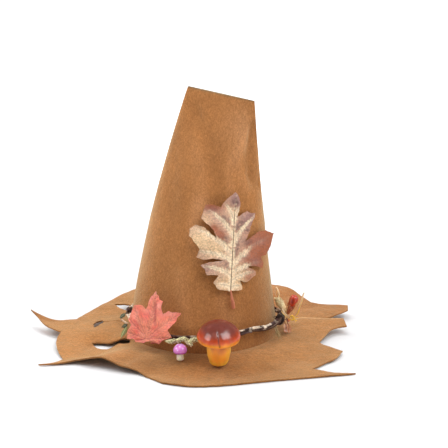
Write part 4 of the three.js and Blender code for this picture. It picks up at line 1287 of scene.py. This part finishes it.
def pale_twig():
    line = catmull([(-104.2, -25, 33.3), (-99.4, -26, 30.2), (-96.4, -29, 29.4), (-95, -33, 31.2)], 8)
    radii = np.interp(np.arange(len(line)), [0, len(line) * 0.6, len(line)], [1.35, 1.1, 0.7])
    vertices, faces = tube(line, radii * (1 + 0.1 * wobble(line, 4, 1.0)), 12, tip=0.05)
    mottled = 0.6 * np.clip(0.5 + 0.9 * wobble(vertices, 3, 5.0), 0, 1)
    tint = mix(srgb(242, 216, 188), srgb(198, 164, 140), mottled)
    piece("pale_twig_bark", vertices, faces, tint, BARK, "wreath", "pale_twig", "pale_bark", sharp=60)
    stems = Shell()
    for knots in ([(-96.4, -29, 29.2), (-96, -29, 28.3), (-95.8, -29, 27.5)],
                  [(-96.8, -28.6, 29.2), (-97.4, -30.2, 27.4), (-96.6, -31.5, 25.6)],
                  [(-96.6, -19.6, 39.6), (-98, -20.6, 40.0), (-99.2, -21, 39.5)]):
        stems.put(*tube(catmull(knots, 5), 0.35, 6), srgb(98, 96, 54))
    stems.finish("left_leaflet_stems", GREENERY, "wreath", (), "leaf_green")


pale_twig()
leaflet("left_leaflet_upper_blade", "left_leaflet_upper", (-99.2, -21, 39.5), (-6.2, -1, -4.5),
        (-0.35, -0.85, 0.4), 9, 5.5, DARK_COLOURS, 1.0)
leaflet("left_leaflet_middle_blade", "left_leaflet_middle", (-95.8, -29, 27.6), (-7, 0.5, -3.2),
        (-0.3, -0.85, 0.4), 9, 5, DARK_COLOURS, 2.0)
leaflet("left_leaflet_lower_blade", "left_leaflet_lower", (-96.6, -31.5, 25.6), (-7.3, -14, -9.8),
        (-0.5, -0.6, 0.6), 17.5, 7, LEAF_COLOURS, 3.0)


def seed_head():
    chance = random.Random(8)
    shell = Shell()
    lean = math.radians(-32)
    middle, toward = np.array([98.9, -9, 48.8]), (math.sin(lean), 0, math.cos(lean))
    husks = (srgb(214, 168, 104), srgb(255, 240, 192))
    scaly(shell, middle - 1.6 * np.array(toward), toward, 22, 9.8, 7, 6, husks, chance, 0.55)
    axis, side, other = basis(toward)
    for _ in range(14):
        k = chance.uniform(0.1, 0.95)
        angle = chance.uniform(0, 2 * math.pi)
        out = math.cos(angle) * side + math.sin(angle) * other
        root = middle + axis * 19 * (k - 0.5) + out * 3.4 * math.sin(math.pi * (0.15 + 0.7 * k))
        end = root + (axis * 0.9 + out * 0.5) * chance.uniform(2.5, 4.5)
        hair = tube([root, (root + end) / 2 + out * 0.3, end], [0.26, 0.2, 0.1], 5)
        shell.put(*hair, srgb(238, 220, 170))
    shell.finish("seed_head_husks", STRAW, "wreath", "seed_head", "seed_cream")


seed_head()


def red_pod():
    profile = [(0, -8.5), (2.4, -8.0), (3.9, -5.6), (4.9, -2.0), (5.2, 1.4), (4.6, 4.4), (2.9, 6.1),
               (0, 6.6)]
    vertices, faces = turned(profile, 60, 7)
    x, y, z = vertices.T
    angle = np.arctan2(y, x)
    ribs = np.cos(5 * angle + 0.22 * z)
    fold = 1 + 0.11 * ribs + 0.04 * np.cos(11 * angle + 0.3 * z)
    vertices = np.stack([x * fold, y * fold, z], -1) + 0.22 * wobble(vertices, 2.6, 2.0)[:, None]
    mottled = np.clip(0.45 + 0.8 * wobble(vertices, 4, 6.0), 0, 1)
    tint = mix(srgb(222, 74, 38), srgb(168, 46, 28), mottled)
    # Painted shade in the grooves between the ribs, and a painted highlight on the ribs towards the
    # left.
    tint = mix(tint, srgb(140, 36, 24), 0.5 * smooth(-0.2, -1.0, ribs))
    tint = mix(tint, srgb(232, 130, 92), 0.75 * smooth(0.3, 1.0, ribs) * smooth(-1, -4.5, x))
    vertices = lean_right(vertices, math.radians(20)) + (115.3, -8, 53.6)
    piece("red_berry_pod", vertices, faces, tint, BERRY_SKIN, "wreath", "red_berry", "berry_red")


red_pod()


def curly_calyx():
    chance = random.Random(15)
    shell = Shell()
    foot = np.array([108.3, -8, 34.8])
    lean = math.radians(22)
    axis = np.array([math.sin(lean), 0, math.cos(lean)])
    _, side, other = basis(axis)
    cup = tube([foot + axis * k for k in (0, 2, 5, 9, 12)], [1.2, 2.6, 3.2, 3.0, 1.6], 10)
    shell.put(*cup, srgb(150, 70, 38))
    for n in range(11):
        angle = 2 * math.pi * n / 11 + chance.uniform(-0.2, 0.2)
        out = math.cos(angle) * side + math.sin(angle) * other
        rise, reach = chance.uniform(8, 13.5), chance.uniform(1.2, 2.6)
        knots = [(1.0, 1.8), (rise * 0.5, 3.0 + 0.3 * reach), (rise, 2.6 + reach),
                 (rise + 0.6, 3.4 + reach), (rise - 1.4, 3.5 + reach)]
        route = catmull([foot + axis * up + out * away for up, away in knots], 6)
        radii = np.interp(np.linspace(0, 1, len(route)), [0, 0.4, 1], [1.0, 0.8, 0.3])
        paler = 0.15 + 0.75 * (n % 2) * chance.uniform(0.6, 1)
        shell.put(*tube(route, radii, 7), mix(srgb(176, 84, 44), srgb(240, 190, 136), paler))
    shell.finish("berry_calyx_curls", STRAW, "wreath", "berry_calyx", "calyx_brown")


curly_calyx()


def ribbon(shell, knots, width, thick_mm, tint, twist=0.8, steps=8):
    """A flat strip of straw along a smooth curve, slowly twisting, added to a shell."""
    route = catmull(knots, steps)
    n = len(route)
    along = unit(np.gradient(route, axis=0))
    first = basis(along[0])[1]
    angles = np.linspace(0, 2 * math.pi, 8, endpoint=False)
    rings = []
    for i in range(n):
        first = unit(first - along[i] * np.dot(first, along[i]))
        other = np.cross(along[i], first)
        turn = twist * i / n * math.pi
        a = math.cos(turn) * first + math.sin(turn) * other
        b = -math.sin(turn) * first + math.cos(turn) * other
        size = 1 - 0.45 * abs(2 * i / (n - 1) - 1) ** 3
        rings.append(route[i] + (np.cos(angles) * width / 2 * size)[:, None] * a
                     + (np.sin(angles) * thick_mm / 2)[:, None] * b)
    shell.put(np.concatenate(rings), ring_faces(n, 8), tint)


STRAW_PALE, STRAW_GOLD = srgb(252, 226, 188), srgb(250, 206, 132)
STRAW_BRIGHT = srgb(252, 206, 74)
# The bow's strips: their route, width, thickness, colour and twist.
STRAW_RIGHT = [
    ([(115.6, -9, 29.5), (118.6, -9, 34), (122.5, -9, 45), (129, -9, 64)],
     2.7, 0.8, STRAW_PALE * (1, 0.93, 0.78), 0.5),
    ([(115.6, -9.6, 30), (119.6, -9.8, 36), (124.5, -9.8, 47), (128.3, -9.6, 57)],
     1.3, 0.5, STRAW_GOLD, 0.9),
    ([(114.6, -8.6, 29), (119.5, -8.2, 33), (122.8, -8.2, 39), (123.5, -8.4, 44)],
     1.2, 0.5, STRAW_BRIGHT, 0.5),
]
STRAW_LEFT = [
    ([(112.4, -11.6, 30), (108.6, -13.4, 33), (104.4, -14.4, 37.5), (100.8, -14.6, 44)],
     2.6, 0.7, STRAW_PALE, 0.5),
    ([(112.8, -11.4, 29), (108.2, -13.8, 31), (103.6, -15.2, 36), (99.6, -14.8, 41)],
     1.6, 0.5, STRAW_GOLD, 0.8),
]
STRAW_LOOP = [
    ([(94, -9, 57.6), (91.6, -9, 64), (93, -9, 71), (96.4, -9, 65.4), (97, -9, 58)],
     1.5, 0.45, STRAW_PALE, 0.4),
    ([(95, -9.4, 56), (93.2, -9.4, 61), (94.6, -9.4, 67), (96.6, -9.2, 62), (97.6, -9.2, 56)],
     1.0, 0.4, STRAW_GOLD, 0.4),
]
STRAW_ENDS = [(119.5, -11, 27.5), (121.5, -10, 30.0), (118.8, -12.5, 25.4), (109.4, -13, 28.4),
              (120.4, -9.5, 25.8)]


def straw_bow():
    for node, strips in (("straw_right", STRAW_RIGHT), ("straw_left", STRAW_LEFT),
                         ("straw_loop", STRAW_LOOP)):
        shell = Shell()
        for strip in strips:
            ribbon(shell, *strip)
        shell.finish(f"{node}_strips", STRAW, "wreath", node, "straw")
    chance = random.Random(33)
    knot = Shell()
    middle = np.array([114, -9, 30.0])
    for n in range(4):
        tilt = chance.uniform(-0.7, 0.7)
        t = np.linspace(0, 2 * math.pi, 22)
        turn = np.stack([np.cos(t) * (2.7 - 0.2 * n), np.sin(t) * 1.1 - 0.32 * n, np.sin(t) * 2.5], -1)
        shade = chance.uniform(0.85, 1.1)
        knot.put(*tube(lean_right(turn, -tilt) + middle, 0.75, 7), STRAW_BRIGHT * shade)
    for end in np.array(STRAW_ENDS):
        arch = catmull([middle, (middle + end) / 2 + (0, 0, 1.0), end], 6)
        knot.put(*tube(arch, 0.38, 6), STRAW_BRIGHT)
    knot.finish("straw_knot_tied", STRAW, "wreath", "straw_knot", "straw_yellow")


straw_bow()


def wisps():
    chance = random.Random(52)
    for node, root, end in (("green_wisp_front", (91.6, -49.5, 25.4), (93, -53.5, 15.5)),
                            ("green_wisp_back", (94, -44.5, 25.6), (95, -47.5, 15.8))):
        shell = Shell()
        root, end = np.array(root), np.array(end)
        vine = ring_point(math.atan2(root[1], root[0]), 1.5, -2.0)
        for n in range(7):
            fan = np.array([chance.uniform(-5, 6), chance.uniform(-3, 2), chance.uniform(-1, 7)])
            tip = end + (fan if n else 0)
            middle = (root + tip) / 2 + np.array([0, -1.2, 1.4])
            tint = mix(srgb(140, 118, 66), srgb(216, 190, 136), chance.uniform(0, 1))
            blade = tube(catmull([vine, root, middle, tip], 6), np.linspace(0.42, 0.16, 19), 5)
            shell.put(*blade, tint)
        shell.finish(f"{node}_spray", GREENERY, "wreath", node, "wisp_green")


wisps()


def amber_bead():
    vertices, faces = turned([(0, -2.4), (1.5, -1.9), (2.4, 0), (1.5, 1.9), (0, 2.4)], 32, 6)
    # Painted shade: the bead is darker towards its foot.
    tint = mix(srgb(222, 116, 70), srgb(190, 74, 40), smooth(1, -2, vertices[:, 2]))
    piece("amber_bead_glossy", vertices + (108.8, -11, 27.6), faces, tint, CAP_WAX, "wreath",
          "amber_bead", "bead_amber")


amber_bead()


RUST_COLOURS = (srgb(188, 106, 60), srgb(228, 170, 112), srgb(138, 70, 38))


def petal(name, node, foot, up, facing, length, width, outline, bend, seed):
    """A dried petal: ragged, folded along its middle and thin enough to glow."""
    def relief(p):
        flat = flat_points(p)
        rough = 0.5 * wobble(flat, 3.2, seed) + 0.2 * wobble(flat, 1.4, seed + 5)
        return 0.16 * np.abs(p[:, 0]) + rough - 2.0 * (p[:, 1] / length) ** 2

    def paint(p):
        flat = flat_points(p)
        streaks = wobble(flat * np.array([1, 0.15, 1]), 1.1, seed)
        tint = mix(RUST_COLOURS[0], RUST_COLOURS[1], np.clip(0.35 + 0.8 * streaks, 0, 1))
        tint = mix(tint, RUST_COLOURS[1], 0.6 * smooth(0.55, 0.95, p[:, 1] / length))
        # Painted shade: darker along the middle fold, towards the foot.
        fold = bell(p[:, 0], 0.5) * smooth(1, 0.4, p[:, 1] / length)
        return mix(tint, RUST_COLOURS[2], 0.7 * fold)

    scaled = [(x * width, y * length) for x, y in outline]
    leaf(name, node, "petal_rust", scaled, frame_at(foot, up, facing), bend, 0.6, relief, paint,
         PETAL, "wreath", seed, spacing=0.6)


PETAL_OUTER = [(0.06, 0), (0.22, 0.2), (0.5, 0.42), (0.42, 0.6), (0.48, 0.76), (0.25, 0.86),
               (0.22, 1.0), (0.02, 0.93), (-0.16, 0.98), (-0.3, 0.8), (-0.5, 0.62), (-0.36, 0.4),
               (-0.3, 0.2), (-0.06, 0)]
PETAL_INNER = [(0.06, 0), (0.3, 0.16), (0.42, 0.38), (0.3, 0.55), (0.5, 0.72), (0.3, 0.95),
               (0.1, 0.88), (-0.1, 1.0), (-0.26, 0.84), (-0.32, 0.66), (-0.5, 0.46),
               (-0.32, 0.22), (-0.06, 0)]
petal("rust_petal_outer_membrane", "rust_petal_outer", (108, -15, 25.4), (3, -8, -9),
      (0.6, -0.6, 0.5), 14.5, 8.4, PETAL_OUTER, 9.0, 4.0)
petal("rust_petal_inner_membrane", "rust_petal_inner", (104.6, -19, 25.4), (1.5, -9, -8),
      (0.3, -0.8, 0.5), 14, 7.4, PETAL_INNER, 8.0, 5.0)


def petal_threads():
    shell = Shell()
    for knots in ([(107.2, -11.6, 30), (108.4, -13.4, 27.6), (108.1, -15.4, 25)],
                  [(101.6, -16.6, 30), (104, -18.2, 27.8), (104.7, -19.4, 25)]):
        shell.put(*tube(catmull(knots, 6), 0.5, 7), RUST_COLOURS[2])
    shell.finish("rust_petal_threads", PETAL, "wreath", (), "petal_rust")


petal_threads()


def glue_pad():
    profile = [(0, -3.6), (4.5, -3.4), (6.0, -3.2), (5.6, -2.2), (4.7, -1.2), (3.5, -0.75), (0, -0.6)]
    vertices, faces = turned(profile, 40, 5)
    vertices = vertices * (1 + 0.05 * wobble(vertices, 3, 3.0))[:, None] + (0, 55.0, 0)
    piece("oak_glue_blob", in_frame(vertices, oak_frame), faces, srgb(216, 207, 191), GLUE, "hat",
          "oak_leaf_glue", "glue")


glue_pad()


# ---- Floor, light and finish ----------------------------------------------------------------

LIT_HEIGHT = 0.12  # the lamps face this height on the crown's axis


def lamp(name, toward, distance, size, watts, mirrored=False):
    """A square softbox. It either lights the cloth or is mirrored in the glazes as a highlight."""
    data = bpy.data.lights.new(name, "AREA")
    data.shape, data.size, data.energy = "SQUARE", size, watts
    made = add(name, data)
    way = Vector(toward).normalized()
    made.location = Vector((AXIS_X, AXIS_Y, LIT_HEIGHT)) + way * distance
    made.rotation_euler = way.to_track_quat("Z", "Y").to_euler()
    made.visible_glossy = mirrored
    made.visible_diffuse = not mirrored


def floor():
    """White paper. It glows a little away from the hat, so that it stays white to the far edge."""
    reach, below = 12.0, -0.0005
    mesh = bpy.data.meshes.new("floor")
    mesh.from_pydata([(-reach, -reach, below), (reach, -reach, below), (reach, reach, below),
                      (-reach, reach, below)], [], [(0, 1, 2, 3)])
    paper = bpy.data.materials.new("white_paper")
    paper.use_nodes = True
    tree = paper.node_tree
    shader = tree.nodes["Principled BSDF"]
    set_inputs(shader, {"Base Color": (0.74, 0.74, 0.75, 1), "Roughness": 0.9,
                        "Emission Color": (1, 1, 1, 1)})
    where = tree.nodes.new("ShaderNodeTexCoord")
    away = tree.nodes.new("ShaderNodeVectorMath")
    away.operation = "LENGTH"
    tree.links.new(where.outputs["Object"], away.inputs[0])
    glow = map_range(tree, away.outputs["Value"], 0.0, 0.75, 0.3, 1.3, ease=True)
    tree.links.new(glow, shader.inputs["Emission Strength"])
    mesh.materials.append(paper)
    add("floor", mesh)


def studio():
    """A room that is dim towards the horizon and bright towards its ceiling, with its lamps."""
    world = bpy.data.worlds.new("studio")
    bpy.context.scene.world = world
    world.use_nodes = True
    tree = world.node_tree
    tree.nodes["Background"].inputs["Color"].default_value = (1.0, 1.0, 1.0, 1)
    where = tree.nodes.new("ShaderNodeTexCoord")
    split = tree.nodes.new("ShaderNodeSeparateXYZ")
    tree.links.new(where.outputs["Generated"], split.inputs["Vector"])
    rise = map_range(tree, split.outputs["Z"], 0.12, 0.55, 0.05, 0.7, ease=True)
    tree.links.new(rise, tree.nodes["Background"].inputs["Strength"])
    lamp("softbox_right", (0.54, -0.43, 0.76), 1.7, 1.15, 15)
    lamp("window_right", (0.60, -0.50, 0.66), 1.7, 1.35, 46, mirrored=True)
    lamp("softbox_left", (-0.78, -0.04, 0.70), 1.7, 0.8, 10.4)
    lamp("window_left", (-0.82, -0.44, 0.42), 1.7, 0.95, 19, mirrored=True)
    lamp("rim_left", (-0.72, 0.62, 0.36), 1.9, 0.9, 11)
    lamp("rim_right", (0.78, 0.55, 0.36), 1.9, 0.8, 8)
    lamp("overhead", (-0.1, 0.30, 1.0), 1.9, 1.4, 18)


CAMERA_PLACE, CAMERA_PITCH, LENS_MM = (26.56, -1416.74, 505.09), math.radians(14), 92.65
camera = add("camera", bpy.data.cameras.new("camera"))
camera.data.lens, camera.data.sensor_width, camera.data.clip_end = LENS_MM, 36, 30
camera.location = Vector(place(CAMERA_PLACE)[0])
camera.rotation_euler = (math.pi / 2 - CAMERA_PITCH, 0, 0)
bpy.context.scene.camera = camera
floor()
studio()
scene = bpy.context.scene
scene.view_settings.view_transform = "Standard"
scene.view_settings.look = "None"
scene.view_settings.exposure = 0.0

bpy.context.view_layer.update()
